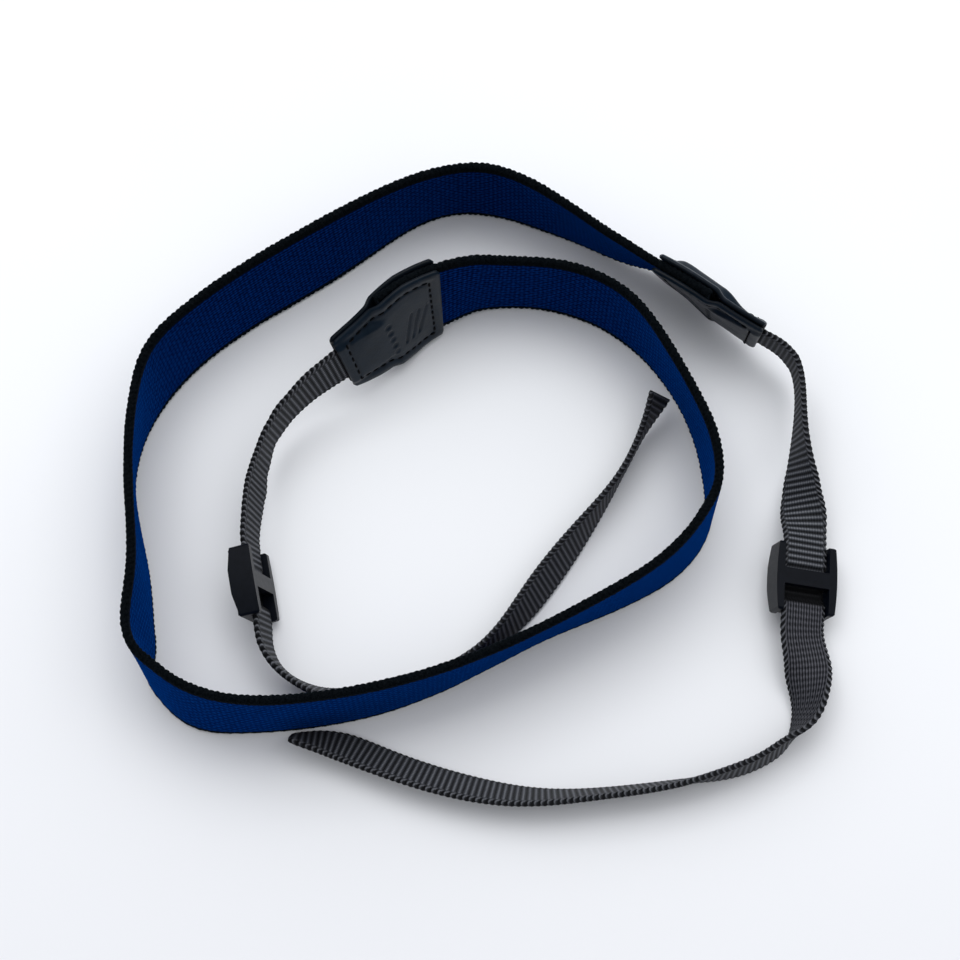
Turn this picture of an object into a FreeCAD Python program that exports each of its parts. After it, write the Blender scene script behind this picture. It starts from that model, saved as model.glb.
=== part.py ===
import FreeCAD, Part
import math
import os

# Camera neck strap, coiled loosely and standing on its edge on a table.
# A woven neck band has a two-layer leather patch at each end. From each patch a narrow webbing
# runs through a moulded tri-glide buckle and ends in a free tail. Millimetres, +Z up.
# The origin is the middle of the coiled strap's footprint, on the table.
#
# Places on the strap are given by "s", the arc position from the right tail's tip, "across", the
# distance from the centreline over the width, and "out", the distance along the outward normal,
# which points away from the coil. The strap runs anticlockwise seen from above.

V = FreeCAD.Vector

# ---- neck band and narrow webbing ----
BAND_W = 25.0
BAND_T = 1.9
WEB_W = 10.0
WEB_T = 1.25
FLEX_GAP = 0.50          # gap at a flex line of the webbing
BAND_LIFT_L = 16.0       # stretch beside each patch where the band rises off the table

# ---- leather patch; "along" is the distance from its wide edge, at the neck band ----
PATCH_L = 27.2
PATCH_HALF_WIDE = 12.85  # half height at the neck band
PATCH_HALF_MOUTH = 8.1   # half height at the mouth, where the narrow webbing leaves
LEATHER_T = 1.1          # one leather layer
BAND_IN_PATCH = 14.0     # neck band end hidden in the patch
ROOT_START = 5.6         # along: start of the narrow webbing's hidden end
FIT = 0.12               # assembly gap between stitched layers
FIT_LEATHER = 0.14       # gap between a leather layer and the neck band inside it
PINCH_GAP = 0.13         # half gap between the leathers where they close on each other

TAPER_START = 8.5        # along: the height starts to narrow
TAPER_STRAIGHT = 0.7     # share of the taper that is straight; the rest is an S curve
WIDE_CORNER = 1.1        # length and drop of the rounded corners at the wide edge
MOUTH_CORNER_L = 0.9     # rounded corners at the mouth
MOUTH_CORNER_DROP = 0.7

# smooth changes inside the patch, each as (start, length)
ROOT_DROP = (14.6, 8.6)       # along: the hidden webbing comes down to the centreline
CAVITY_THIN = (14.3, 7.5)     # along: the cavity thins from the band to the webbing
PINCH_ALONG = (14.8, 3.6)     # along: the leathers close past the end of the neck band
PINCH_ACROSS = (5.4, 1.8)     # across: the same, beyond the edges of the narrow webbing
BULGE_ALONG = (1.2, 3.6)      # along: the back leather rises over the hidden webbing
BULGE_TIGHTEN = (BAND_IN_PATCH, 4.0)  # along: the sides of that bulge get steeper
BULGE_HALF = 5.6              # across: the bulge starts to fall
BULGE_FALL = 3.0              # width of the fall, over the band
BULGE_FALL_CUT = 0.7          # how much narrower it is past the band

# ---- stitching ----
STITCH_L = 1.5           # one visible stitch
STITCH_W = 0.50
STITCH_PITCH = 2.15
STITCH_INSET = 2.7       # stitch row to leather edge
STITCH_MOUTH_SHIFT = 0.3  # the row at the mouth is this much nearer its edge
STITCH_SUNK = 0.27       # thread below the leather face
STITCH_PROUD = 0.15      # thread above the leather face
BOX_STITCH = (6.8, 12.8)  # hidden box stitch, along
BOX_STITCH_HALF = 3.6     # half size across
BOX_THREAD_W = 0.4
BOX_THREAD_LOW = 0.55    # out: bottom of the thread
BOX_THREAD_HIGH = BAND_T / 2 + FIT + WEB_T - 0.02  # out: just under the webbing's face

# ---- tri-glide buckle ----
BUCKLE_L = 15.2          # length along the webbing
BUCKLE_IN = 5.15         # half of the slot width
BUCKLE_OUT = 6.98        # half of the buckle width at the bulge
BUCKLE_OUT_END = 6.52    # half of the buckle width at the rail ends
BUCKLE_TOP = 2.35        # rail face above the webbing centre
BUCKLE_BOT = -3.05       # rail underside below the webbing centre
BUCKLE_ROUND = 0.6       # radius of the rail end corners
UNDERSIDE_START = 0.35   # share of the half length where the underside starts to rise
UNDERSIDE_RISE = 1.15    # its rise, reached UNDERSIDE_OVER past the rail end
UNDERSIDE_OVER = 1.0
BAR_MID_HALF = 1.75      # half length of the centre bar
BAR_END_IN = 5.2         # outer bars, near face
BAR_END_OUT = 7.1        # outer bars, far face
BAR_END_T = 1.9          # outer bars, thickness
BAR_SINK = 0.5           # each bar end runs this far into its rail
BAR_CLEAR = 0.16         # webbing to bar clearance

# ---- arc positions along the strap ----
S_R_FLEX = 96.0
S_R_BUCKLE = 144.67
S_R_MOUTH = 203.6
S_R_WIDE = S_R_MOUTH + PATCH_L
S_L_WIDE = 659.8
S_L_MOUTH = S_L_WIDE + PATCH_L
S_L_BUCKLE = 744.01
S_L_FLEX = 812.0

# ---- centreline of the whole strap, every STEP mm from the right tip ----
STEP = 1.99851111
FOOTPRINT_MIDDLE = (-0.603, -3.608)
# x, y, z, lean in degrees from upright towards the outward normal
PATH = [
    (-39.875, -59.257, 4.959, 17.16), (-37.895, -59.497, 4.833, 23.36),
    (-35.918, -59.730, 4.656, 29.41), (-33.947, -59.987, 4.448, 35.00),
    (-31.985, -60.311, 4.245, 39.63), (-30.040, -60.746, 4.106, 42.90),
    (-28.122, -61.301, 4.017, 44.70), (-26.234, -61.954, 3.967, 45.27),
    (-24.367, -62.665, 3.976, 45.07), (-22.507, -63.397, 4.006, 44.51),
    (-20.646, -64.123, 4.040, 43.86), (-18.777, -64.833, 4.071, 43.27),
    (-16.901, -65.519, 4.097, 42.76), (-15.015, -66.180, 4.120, 42.34),
    (-13.120, -66.814, 4.146, 41.95), (-11.216, -67.421, 4.170, 41.58),
    (-9.302, -67.997, 4.189, 41.18), (-7.380, -68.543, 4.208, 40.71),
    (-5.449, -69.057, 4.231, 40.15), (-3.509, -69.537, 4.261, 39.45),
    (-1.561, -69.981, 4.301, 38.59), (0.396, -70.386, 4.349, 37.55),
    (2.361, -70.747, 4.403, 36.31), (4.334, -71.059, 4.462, 34.89),
    (6.315, -71.315, 4.526, 33.31), (8.302, -71.511, 4.591, 31.59),
    (10.295, -71.643, 4.655, 29.81), (12.292, -71.712, 4.715, 28.01),
    (14.290, -71.721, 4.770, 26.27), (16.287, -71.676, 4.816, 24.64),
    (18.283, -71.585, 4.855, 23.17), (20.277, -71.456, 4.885, 21.89),
    (22.269, -71.298, 4.907, 20.79), (24.260, -71.118, 4.926, 19.89),
    (26.248, -70.921, 4.940, 19.16), (28.236, -70.710, 4.951, 18.54),
    (30.221, -70.485, 4.961, 17.99), (32.205, -70.245, 4.970, 17.44),
    (34.187, -69.988, 4.979, 16.85), (36.166, -69.709, 4.989, 16.20),
    (38.141, -69.404, 5.000, 15.40), (40.112, -69.072, 5.013, 14.28),
    (42.078, -68.714, 5.030, 12.61), (44.040, -68.334, 5.047, 10.28),
    (45.999, -67.936, 5.056, 7.45), (47.953, -67.519, 5.052, 4.50),
    (49.901, -67.074, 5.038, 1.80), (51.838, -66.582, 5.029, -0.42),
    (53.755, -66.018, 5.038, -2.11), (55.641, -65.355, 5.046, -3.30),
    (57.480, -64.573, 5.050, -4.15), (59.261, -63.667, 5.053, -4.89),
    (60.976, -62.641, 5.053, -5.54), (62.620, -61.505, 5.053, -5.14),
    (64.183, -60.262, 5.128, -1.93), (65.637, -58.897, 5.240, 5.04),
    (66.933, -57.379, 5.345, 14.37), (68.003, -55.695, 5.421, 23.38),
    (68.795, -53.861, 5.456, 30.90), (69.294, -51.927, 5.451, 38.10),
    (69.536, -49.944, 5.426, 47.00), (69.649, -47.946, 5.407, 58.80),
    (69.731, -45.948, 5.417, 72.77), (69.769, -43.951, 5.464, 86.35),
    (69.738, -41.955, 5.538, 96.65), (69.659, -39.958, 5.622, 102.56),
    (68.983, -37.961, 5.704, 105.11), (68.507, -35.964, 5.778, 106.06),
    (68.637, -33.967, 5.835, 105.99), (68.799, -31.970, 5.893, 106.00),
    (68.962, -29.973, 5.951, 106.00), (69.125, -27.975, 6.009, 106.00),
    (69.287, -25.978, 6.067, 106.00), (69.450, -23.981, 6.125, 106.00),
    (69.613, -21.983, 6.183, 106.00), (69.776, -19.986, 6.241, 106.00),
    (69.938, -17.989, 6.299, 105.99), (70.099, -15.991, 6.357, 106.04),
    (70.211, -13.994, 6.415, 101.27), (70.242, -11.997, 6.474, 90.61),
    (70.213, -10.000, 6.539, 74.90), (70.140, -8.005, 6.631, 61.72),
    (70.089, -6.012, 6.778, 49.89), (70.109, -4.027, 7.006, 43.37),
    (70.115, -2.053, 7.314, 36.32), (70.095, -0.087, 7.673, 27.31),
    (70.069, 1.880, 8.028, 20.77), (70.061, 3.854, 8.339, 15.61),
    (70.088, 5.836, 8.591, 11.35), (70.158, 7.822, 8.799, 7.89),
    (70.260, 9.809, 8.990, 5.16), (70.374, 11.795, 9.187, 3.06),
    (70.473, 13.779, 9.404, 1.45), (70.529, 15.762, 9.648, 0.17),
    (70.505, 17.742, 9.918, -0.93), (70.353, 19.713, 10.208, -1.98),
    (70.006, 21.657, 10.511, -3.14), (69.383, 23.531, 10.813, -4.51),
    (68.257, 25.135, 11.081, -6.09), (66.936, 26.566, 11.324, -7.60),
    (65.382, 27.757, 11.532, -8.92), (63.684, 28.777, 11.712, -9.97),
    (61.951, 29.756, 11.878, -10.82), (60.251, 30.775, 12.036, -11.63),
    (58.598, 31.846, 12.189, -12.58), (56.979, 32.947, 12.339, -13.57),
    (55.422, 34.122, 12.477, -14.64), (53.896, 35.331, 12.605, -15.68),
    (52.390, 36.569, 12.724, -16.78), (50.895, 37.830, 12.831, -17.91),
    (49.399, 39.108, 12.927, -19.02), (47.891, 40.399, 13.010, -20.09),
    (46.360, 41.682, 13.079, -21.07), (44.778, 42.902, 13.126, -21.85),
    (43.167, 44.081, 13.162, -22.51), (41.510, 45.194, 13.183, -22.89),
    (39.806, 46.235, 13.190, -22.73), (38.068, 47.221, 13.184, -21.88),
    (36.316, 48.180, 13.144, -20.48), (34.565, 49.135, 13.051, -18.93),
    (32.817, 50.111, 12.914, -17.49), (31.077, 51.126, 12.724, -16.30),
    (29.337, 52.165, 12.559, -15.18), (27.596, 53.221, 12.449, -14.16),
    (25.855, 54.285, 12.404, -13.16), (24.116, 55.345, 12.409, -12.15),
    (22.380, 56.387, 12.443, -11.11), (20.645, 57.401, 12.475, -10.04),
    (18.907, 58.387, 12.496, -8.96), (17.162, 59.361, 12.510, -7.90),
    (15.405, 60.314, 12.523, -6.88), (13.632, 61.238, 12.531, -5.92),
    (11.839, 62.120, 12.535, -5.07), (10.021, 62.950, 12.535, -4.32),
    (8.172, 63.711, 12.535, -3.72), (6.290, 64.385, 12.534, -3.25),
    (4.373, 64.954, 12.533, -2.94), (2.423, 65.394, 12.533, -2.80),
    (0.444, 65.684, 12.534, -2.83), (-1.552, 65.808, 12.534, -3.00),
    (-3.552, 65.759, 12.534, -3.25), (-5.541, 65.550, 12.534, -3.45),
    (-7.509, 65.193, 12.534, -3.53), (-9.448, 64.704, 12.533, -3.43),
    (-11.352, 64.094, 12.532, -3.13), (-13.216, 63.372, 12.528, -2.64),
    (-15.039, 62.552, 12.522, -1.98), (-16.823, 61.650, 12.516, -1.19),
    (-18.571, 60.680, 12.512, -0.32), (-20.288, 59.658, 12.512, 0.59),
    (-21.982, 58.597, 12.517, 1.50), (-23.660, 57.511, 12.524, 2.36),
    (-25.329, 56.411, 12.530, 3.15), (-26.991, 55.302, 12.534, 3.85),
    (-28.652, 54.190, 12.536, 4.48), (-30.311, 53.076, 12.536, 5.02),
    (-31.971, 51.963, 12.534, 5.49), (-33.634, 50.854, 12.532, 5.89),
    (-35.300, 49.750, 12.530, 6.22), (-36.970, 48.653, 12.527, 6.47),
    (-38.644, 47.562, 12.526, 6.63), (-40.323, 46.477, 12.525, 6.70),
    (-42.003, 45.395, 12.526, 6.68), (-43.683, 44.312, 12.526, 6.60),
    (-45.358, 43.223, 12.527, 6.48), (-47.027, 42.123, 12.529, 6.33),
    (-48.686, 41.009, 12.530, 6.18), (-50.333, 39.877, 12.531, 6.03),
    (-51.966, 38.725, 12.532, 5.90), (-53.583, 37.550, 12.532, 5.78),
    (-55.182, 36.351, 12.533, 5.68), (-56.761, 35.126, 12.533, 5.60),
    (-58.318, 33.873, 12.533, 5.56), (-59.852, 32.592, 12.533, 5.54),
    (-61.359, 31.279, 12.532, 5.56), (-62.838, 29.935, 12.531, 5.63),
    (-64.285, 28.555, 12.531, 5.72), (-65.688, 27.132, 12.532, 5.81),
    (-67.034, 25.654, 12.534, 5.81), (-68.303, 24.109, 12.536, 5.65),
    (-69.472, 22.487, 12.536, 5.22), (-70.524, 20.786, 12.534, 4.49),
    (-71.445, 19.012, 12.529, 3.42), (-72.246, 17.179, 12.523, 2.10),
    (-72.942, 15.305, 12.520, 0.66), (-73.545, 13.399, 12.520, -0.81),
    (-74.065, 11.469, 12.525, -2.22), (-74.508, 9.520, 12.530, -3.53),
    (-74.876, 7.555, 12.532, -4.68), (-75.169, 5.578, 12.532, -5.65),
    (-75.382, 3.590, 12.529, -6.43), (-75.512, 1.595, 12.525, -6.99),
    (-75.553, -0.403, 12.522, -7.31), (-75.506, -2.402, 12.520, -7.38),
    (-75.374, -4.396, 12.521, -7.21), (-75.169, -6.384, 12.524, -6.83),
    (-74.906, -8.366, 12.528, -6.30), (-74.598, -10.340, 12.532, -5.66),
    (-74.259, -12.310, 12.535, -4.96), (-73.901, -14.276, 12.536, -4.24),
    (-73.537, -16.241, 12.535, -3.52), (-73.182, -18.208, 12.532, -2.84),
    (-72.854, -20.180, 12.526, -2.20), (-72.565, -22.157, 12.519, -1.59),
    (-72.322, -24.141, 12.511, -0.99), (-72.131, -26.131, 12.507, -0.35),
    (-71.994, -28.124, 12.507, 0.42), (-71.904, -30.121, 12.515, 1.33),
    (-71.848, -32.119, 12.528, 2.32), (-71.795, -34.117, 12.541, 3.38),
    (-71.697, -36.113, 12.546, 4.48), (-71.552, -38.106, 12.541, 5.21),
    (-71.393, -40.097, 12.528, 4.75), (-71.153, -42.081, 12.513, 3.08),
    (-70.673, -44.038, 12.501, 0.84), (-69.814, -45.838, 12.502, -1.26),
    (-68.539, -47.372, 12.520, -2.77), (-67.107, -48.786, 12.541, -3.90),
    (-65.669, -50.171, 12.552, -4.88), (-64.161, -51.480, 12.549, -5.70),
    (-62.544, -52.657, 12.538, -6.26), (-60.807, -53.651, 12.531, -6.42),
    (-58.970, -54.443, 12.530, -6.17), (-57.061, -55.038, 12.532, -5.56),
    (-55.107, -55.466, 12.534, -4.73), (-53.130, -55.758, 12.534, -3.81),
    (-51.139, -55.941, 12.532, -2.90), (-49.143, -56.036, 12.527, -2.09),
    (-47.144, -56.065, 12.521, -1.44), (-45.146, -56.040, 12.514, -0.94),
    (-43.148, -55.966, 12.509, -0.58), (-41.153, -55.849, 12.505, -0.34),
    (-39.161, -55.692, 12.502, -0.16), (-37.172, -55.497, 12.501, -0.04),
    (-35.186, -55.269, 12.502, 0.08), (-33.205, -55.008, 12.503, 0.20),
    (-31.228, -54.716, 12.505, 0.35), (-29.256, -54.389, 12.508, 0.52),
    (-27.291, -54.027, 12.511, 0.73), (-25.332, -53.628, 12.514, 0.97),
    (-23.382, -53.192, 12.518, 1.25), (-21.439, -52.720, 12.521, 1.56),
    (-19.507, -52.212, 12.525, 1.90), (-17.583, -51.668, 12.528, 2.27),
    (-15.671, -51.089, 12.531, 2.67), (-13.769, -50.474, 12.533, 3.10),
    (-11.879, -49.824, 12.535, 3.55), (-10.001, -49.140, 12.536, 4.03),
    (-8.136, -48.423, 12.536, 4.52), (-6.283, -47.673, 12.535, 5.03),
    (-4.443, -46.894, 12.533, 5.55), (-2.614, -46.087, 12.531, 6.05),
    (-0.796, -45.258, 12.527, 6.52), (1.013, -44.409, 12.523, 6.97),
    (2.815, -43.543, 12.519, 7.37), (4.610, -42.664, 12.514, 7.72),
    (6.400, -41.776, 12.510, 8.01), (8.186, -40.880, 12.507, 8.23),
    (9.971, -39.981, 12.505, 8.36), (11.756, -39.082, 12.505, 8.41),
    (13.543, -38.187, 12.506, 8.35), (15.333, -37.299, 12.508, 8.18),
    (17.128, -36.420, 12.512, 7.89), (18.925, -35.546, 12.517, 7.49),
    (20.725, -34.676, 12.522, 7.00), (22.523, -33.805, 12.527, 6.46),
    (24.320, -32.929, 12.531, 5.87), (26.112, -32.045, 12.535, 5.27),
    (27.898, -31.149, 12.536, 4.66), (29.675, -30.233, 12.536, 4.06),
    (31.437, -29.290, 12.535, 3.46), (33.179, -28.311, 12.531, 2.84),
    (34.894, -27.285, 12.525, 2.18), (36.576, -26.205, 12.519, 1.49),
    (38.215, -25.061, 12.513, 0.76), (39.803, -23.846, 12.511, 0.03),
    (41.328, -22.554, 12.513, -0.69), (42.780, -21.180, 12.518, -1.35),
    (44.146, -19.720, 12.523, -1.89), (45.412, -18.172, 12.525, -2.26),
    (46.562, -16.538, 12.523, -2.42), (47.602, -14.831, 12.519, -2.30),
    (48.553, -13.068, 12.516, -1.82), (49.353, -11.237, 12.515, -1.22),
    (49.917, -9.319, 12.516, -0.81), (50.243, -7.342, 12.517, -0.61),
    (50.363, -5.345, 12.515, -0.54), (50.314, -3.346, 12.513, -0.59),
    (50.133, -1.355, 12.514, -0.78), (49.854, 0.625, 12.518, -1.12),
    (49.498, 2.592, 12.523, -1.61), (49.056, 4.541, 12.528, -2.23),
    (48.519, 6.466, 12.531, -2.91), (47.904, 8.369, 12.533, -3.60),
    (47.230, 10.251, 12.534, -4.21), (46.505, 12.113, 12.535, -4.71),
    (45.734, 13.957, 12.535, -5.09), (44.916, 15.781, 12.535, -5.33),
    (44.052, 17.583, 12.535, -5.44), (43.142, 19.363, 12.535, -5.42),
    (42.187, 21.118, 12.535, -5.25), (41.188, 22.849, 12.536, -4.94),
    (40.144, 24.554, 12.535, -4.47), (39.052, 26.228, 12.534, -3.88),
    (37.904, 27.864, 12.532, -3.20), (36.691, 29.453, 12.528, -2.46),
    (35.405, 30.984, 12.522, -1.73), (34.038, 32.442, 12.516, -1.05),
    (32.583, 33.814, 12.510, -0.49), (31.044, 35.091, 12.506, -0.05),
    (29.425, 36.264, 12.504, 0.27), (27.735, 37.332, 12.505, 0.47),
    (25.981, 38.293, 12.506, 0.57), (24.173, 39.147, 12.507, 0.57),
    (22.318, 39.893, 12.507, 0.50), (20.425, 40.534, 12.506, 0.35),
    (18.498, 41.069, 12.506, 0.16), (16.546, 41.501, 12.506, -0.08),
    (14.575, 41.834, 12.507, -0.32), (12.591, 42.075, 12.508, -0.53),
    (10.598, 42.233, 12.504, -0.67), (8.601, 42.315, 12.509, -0.70),
    (6.602, 42.329, 12.549, -0.57), (4.604, 42.274, 12.632, -0.28),
    (2.612, 42.142, 12.762, 0.24), (0.627, 41.906, 12.929, 1.11),
    (-1.347, 41.524, 13.113, 2.22), (-3.287, 40.939, 13.272, 3.48),
    (-5.206, 40.263, 13.407, 4.74), (-7.098, 39.496, 13.512, 5.89),
    (-8.955, 38.662, 13.597, 6.84), (-10.760, 37.766, 13.668, 7.70),
    (-12.493, 36.784, 13.726, 8.57), (-14.153, 35.681, 13.780, 9.49),
    (-15.764, 34.503, 13.831, 10.56), (-17.283, 33.204, 13.866, 11.85),
    (-18.757, 31.854, 13.882, 13.22), (-20.201, 30.473, 13.876, 14.61),
    (-21.633, 29.099, 13.844, 15.97), (-23.067, 27.790, 13.800, 17.25),
    (-24.520, 26.542, 13.783, 18.40), (-26.029, 25.381, 13.747, 19.26),
    (-27.573, 24.262, 13.693, 19.94), (-29.150, 23.173, 13.598, 19.89),
    (-30.724, 22.055, 13.457, 18.50), (-32.300, 20.898, 13.279, 16.42),
    (-33.881, 19.736, 13.070, 14.50), (-35.465, 18.561, 12.828, 12.98),
    (-37.018, 17.344, 12.545, 11.30), (-38.483, 16.018, 12.230, 9.46),
    (-39.879, 14.614, 11.918, 7.59), (-41.241, 13.177, 11.592, 5.92),
    (-42.589, 11.735, 11.246, 6.08), (-43.740, 10.148, 10.891, 6.24),
    (-44.774, 8.445, 10.536, 4.47), (-45.854, 6.674, 10.191, 3.93),
    (-46.594, 4.843, 9.868, 5.63), (-47.115, 2.966, 9.578, 7.63),
    (-47.614, 1.056, 9.340, 9.41), (-48.122, -0.870, 9.176, 10.88),
    (-48.356, -2.802, 9.111, 14.45), (-48.575, -4.733, 9.143, 17.25),
    (-48.868, -6.670, 9.218, 16.43), (-49.036, -8.625, 9.306, 15.91),
    (-49.211, -10.605, 9.375, 15.13), (-49.332, -12.602, 9.397, 13.87),
    (-49.459, -14.597, 9.364, 13.32), (-49.683, -16.587, 9.298, 13.52),
    (-49.694, -18.543, 9.157, 13.95), (-49.491, -20.500, 9.017, 14.00),
    (-49.113, -22.456, 8.876, 14.00), (-48.730, -24.412, 8.734, 14.00),
    (-48.346, -26.368, 8.593, 14.00), (-47.963, -28.325, 8.452, 14.00),
    (-47.579, -30.281, 8.311, 14.00), (-47.196, -32.237, 8.170, 14.00),
    (-46.812, -34.193, 8.028, 14.00), (-46.417, -36.147, 7.883, 13.86),
    (-45.929, -38.076, 7.701, 12.72), (-45.345, -39.974, 7.479, 11.43),
    (-44.576, -41.794, 7.183, 10.18), (-43.560, -43.472, 6.804, 9.48),
    (-42.286, -44.948, 6.371, 9.67), (-40.794, -46.204, 5.935, 10.67),
    (-39.143, -47.261, 5.547, 12.30), (-37.380, -48.150, 5.242, 14.35),
    (-35.531, -48.878, 5.030, 16.63), (-33.611, -49.422, 4.936, 18.89),
    (-31.640, -49.747, 4.905, 20.88), (-29.645, -49.848, 4.870, 22.46),
    (-27.650, -49.745, 4.842, 23.61), (-25.670, -49.472, 4.823, 24.33),
    (-23.711, -49.076, 4.814, 24.67), (-21.770, -48.601, 4.817, 24.64),
    (-19.843, -48.073, 4.829, 24.27), (-17.921, -47.524, 4.844, 23.57),
    (-16.007, -46.949, 4.867, 22.57), (-14.101, -46.349, 4.897, 21.27),
    (-12.204, -45.722, 4.930, 19.67), (-10.316, -45.067, 4.964, 17.79),
    (-8.441, -44.377, 4.996, 15.63), (-6.584, -43.639, 5.025, 13.19),
    (-4.752, -42.840, 5.046, 10.46), (-2.957, -41.963, 5.055, 7.46),
    (-1.211, -40.990, 5.050, 4.19), (0.472, -39.913, 5.031, 0.66),
    (2.080, -38.726, 5.043, -3.06), (3.606, -37.436, 5.056, -6.89),
    (5.050, -36.055, 5.044, -10.68), (6.419, -34.599, 5.013, -14.29),
    (7.720, -33.083, 4.967, -17.55), (8.968, -31.523, 4.916, -20.36),
    (10.177, -29.932, 4.866, -22.59), (11.361, -28.323, 4.826, -24.22),
    (12.536, -26.706, 4.800, -25.22), (13.709, -25.088, 4.789, -25.63),
    (14.885, -23.473, 4.792, -25.48), (16.065, -21.860, 4.811, -24.79),
    (17.248, -20.249, 4.841, -23.62), (18.433, -18.641, 4.879, -22.03),
    (19.620, -17.033, 4.922, -20.06), (20.806, -15.425, 4.963, -17.78),
    (21.991, -13.816, 5.001, -15.27), (23.170, -12.203, 5.030, -12.58),
    (24.340, -10.583, 5.049, -9.80), (25.496, -8.952, 5.056, -7.02),
    (26.631, -7.307, 5.051, -4.35), (27.737, -5.643, 5.037, -1.87),
    (28.810, -3.957, 5.023, 0.30), (29.844, -2.247, 5.039, 2.05),
    (30.839, -0.514, 5.046, 3.27), (31.798, 1.240, 5.047, 3.86),
    (32.724, 3.010, 5.090, 3.80), (33.623, 4.787, 5.257, 3.18),
    (34.501, 6.563, 5.519, 2.10), (35.375, 8.321, 5.892, 0.51),
    (36.264, 10.045, 6.372, -1.89), (37.172, 11.731, 6.944, -5.49),
    (38.074, 13.395, 7.585, -10.41), (38.934, 15.061, 8.276, -16.37),
    (39.750, 16.739, 8.992, -22.84),
]
LAST = len(PATH) - 1
S_END = LAST * STEP      # tip of the left tail


# ---- numbers and places along the strap ----
def lerp(a, b, t):
    return a + (b - a) * t


def ease(x):
    """S curve from 0 to 1"""
    x = max(0.0, min(1.0, x))
    return x * x * (3 - 2 * x)


def ramp(x, start, length):
    return ease((x - start) / length)


def span(a, b, pitch):
    """evenly spaced values from a to b, about a pitch apart"""
    count = max(2, int(round(abs(b - a) / pitch)) + 1)
    return [a + (b - a) * i / (count - 1) for i in range(count)]


def catmull_rom(p0, p1, p2, p3, t):
    return 0.5 * ((2 * p1) + (-p0 + p2) * t + (2 * p0 - 5 * p1 + 4 * p2 - p3) * t * t
                  + (-p0 + 3 * p1 - 3 * p2 + p3) * t ** 3)


def station(s):
    """centre point and lean (radians) at arc position s"""
    position = max(0.0, min(s / STEP, float(LAST)))
    i = min(int(position), LAST - 1)
    rows = [PATH[max(0, min(LAST, k))] for k in (i - 1, i, i + 1, i + 2)]
    x, y, z, lean = [catmull_rom(*column, position - i) for column in zip(*rows)]
    return V(x - FOOTPRINT_MIDDLE[0], y - FOOTPRINT_MIDDLE[1], z), math.radians(lean)


def frame(s):
    """centre, direction along the strap, width direction, outward normal"""
    centre, lean = station(s)
    forward = station(min(S_END, s + 1.0))[0].sub(station(max(0.0, s - 1.0))[0])
    forward.normalize()
    level = V(forward.y, -forward.x, 0)
    level.normalize()
    upright = level.cross(forward)
    width = upright * math.cos(lean) + level * math.sin(lean)
    return centre, forward, width, forward.cross(width)


def at(s, across, out):
    centre, _, width, normal = frame(s)
    return centre + width * across + normal * out


# ---- shapes ----
def curve(points):
    spline = Part.BSplineCurve()
    spline.interpolate(points)
    return spline.toShape()


def quad(a, b, c, d):
    return Part.Face(Part.makePolygon([a, b, c, d, a]))


def close_solid(faces):
    shell = Part.makeShell(faces)
    shell.sewShape()
    # sewing may wrap the shell in a compound, and may leave it facing inwards
    solid = Part.makeSolid(shell if shell.ShapeType == "Shell" else shell.Shells[0])
    if solid.Volume < 0:
        solid.reverse()
    return solid


def sheet(grid):
    """surface through a grid of points"""
    surface = Part.BSplineSurface()
    surface.interpolate(grid)
    return surface


def draped(grid):
    """cubic surface with the grid as its control net, so it never swings past the points"""
    def knots(count):
        return list(range(count - 2)), [4] + [1] * (count - 4) + [4]

    u_knots, u_mults = knots(len(grid))
    v_knots, v_mults = knots(len(grid[0]))
    surface = Part.BSplineSurface()
    surface.buildFromPolesMultsKnots(
        grid, u_mults, v_mults, u_knots, v_knots, False, False, 3, 3)
    return surface


def thick_sheet(inner_grid, outer_grid, make=sheet):
    """closed solid between two point grids of the same size"""
    inner, outer = make(inner_grid), make(outer_grid)
    faces = [inner.toShape(), outer.toShape()]
    a, b = inner.bounds(), outer.bounds()
    for k in (0, 1):
        faces.append(Part.makeRuledSurface(
            inner.uIso(a[k]).toShape(), outer.uIso(b[k]).toShape()))
        faces.append(Part.makeRuledSurface(
            inner.vIso(a[2 + k]).toShape(), outer.vIso(b[2 + k]).toShape()))
    return close_solid(faces)


def place(shape, origin, x_axis, y_axis, z_axis):
    matrix = FreeCAD.Matrix(
        x_axis.x, y_axis.x, z_axis.x, origin.x,
        x_axis.y, y_axis.y, z_axis.y, origin.y,
        x_axis.z, y_axis.z, z_axis.z, origin.z,
        0, 0, 0, 1)
    placed = shape.copy()
    placed.Placement = FreeCAD.Placement(matrix)
    return placed


def thread(start, end, normal, width, low, high, overrun=0.0):
    """box-shaped thread from start to end, between two heights along the normal"""
    run = end.sub(start)
    length = run.Length
    run.normalize()
    up = normal - run * normal.dot(run)
    up.normalize()
    box = Part.makeBox(length + 2 * overrun, width, high - low, V(-overrun, -width / 2, low))
    return place(box, start, run, up.cross(run), up)


def save(name, shape):
    shape.exportStep("parts/" + name + ".step")


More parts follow.
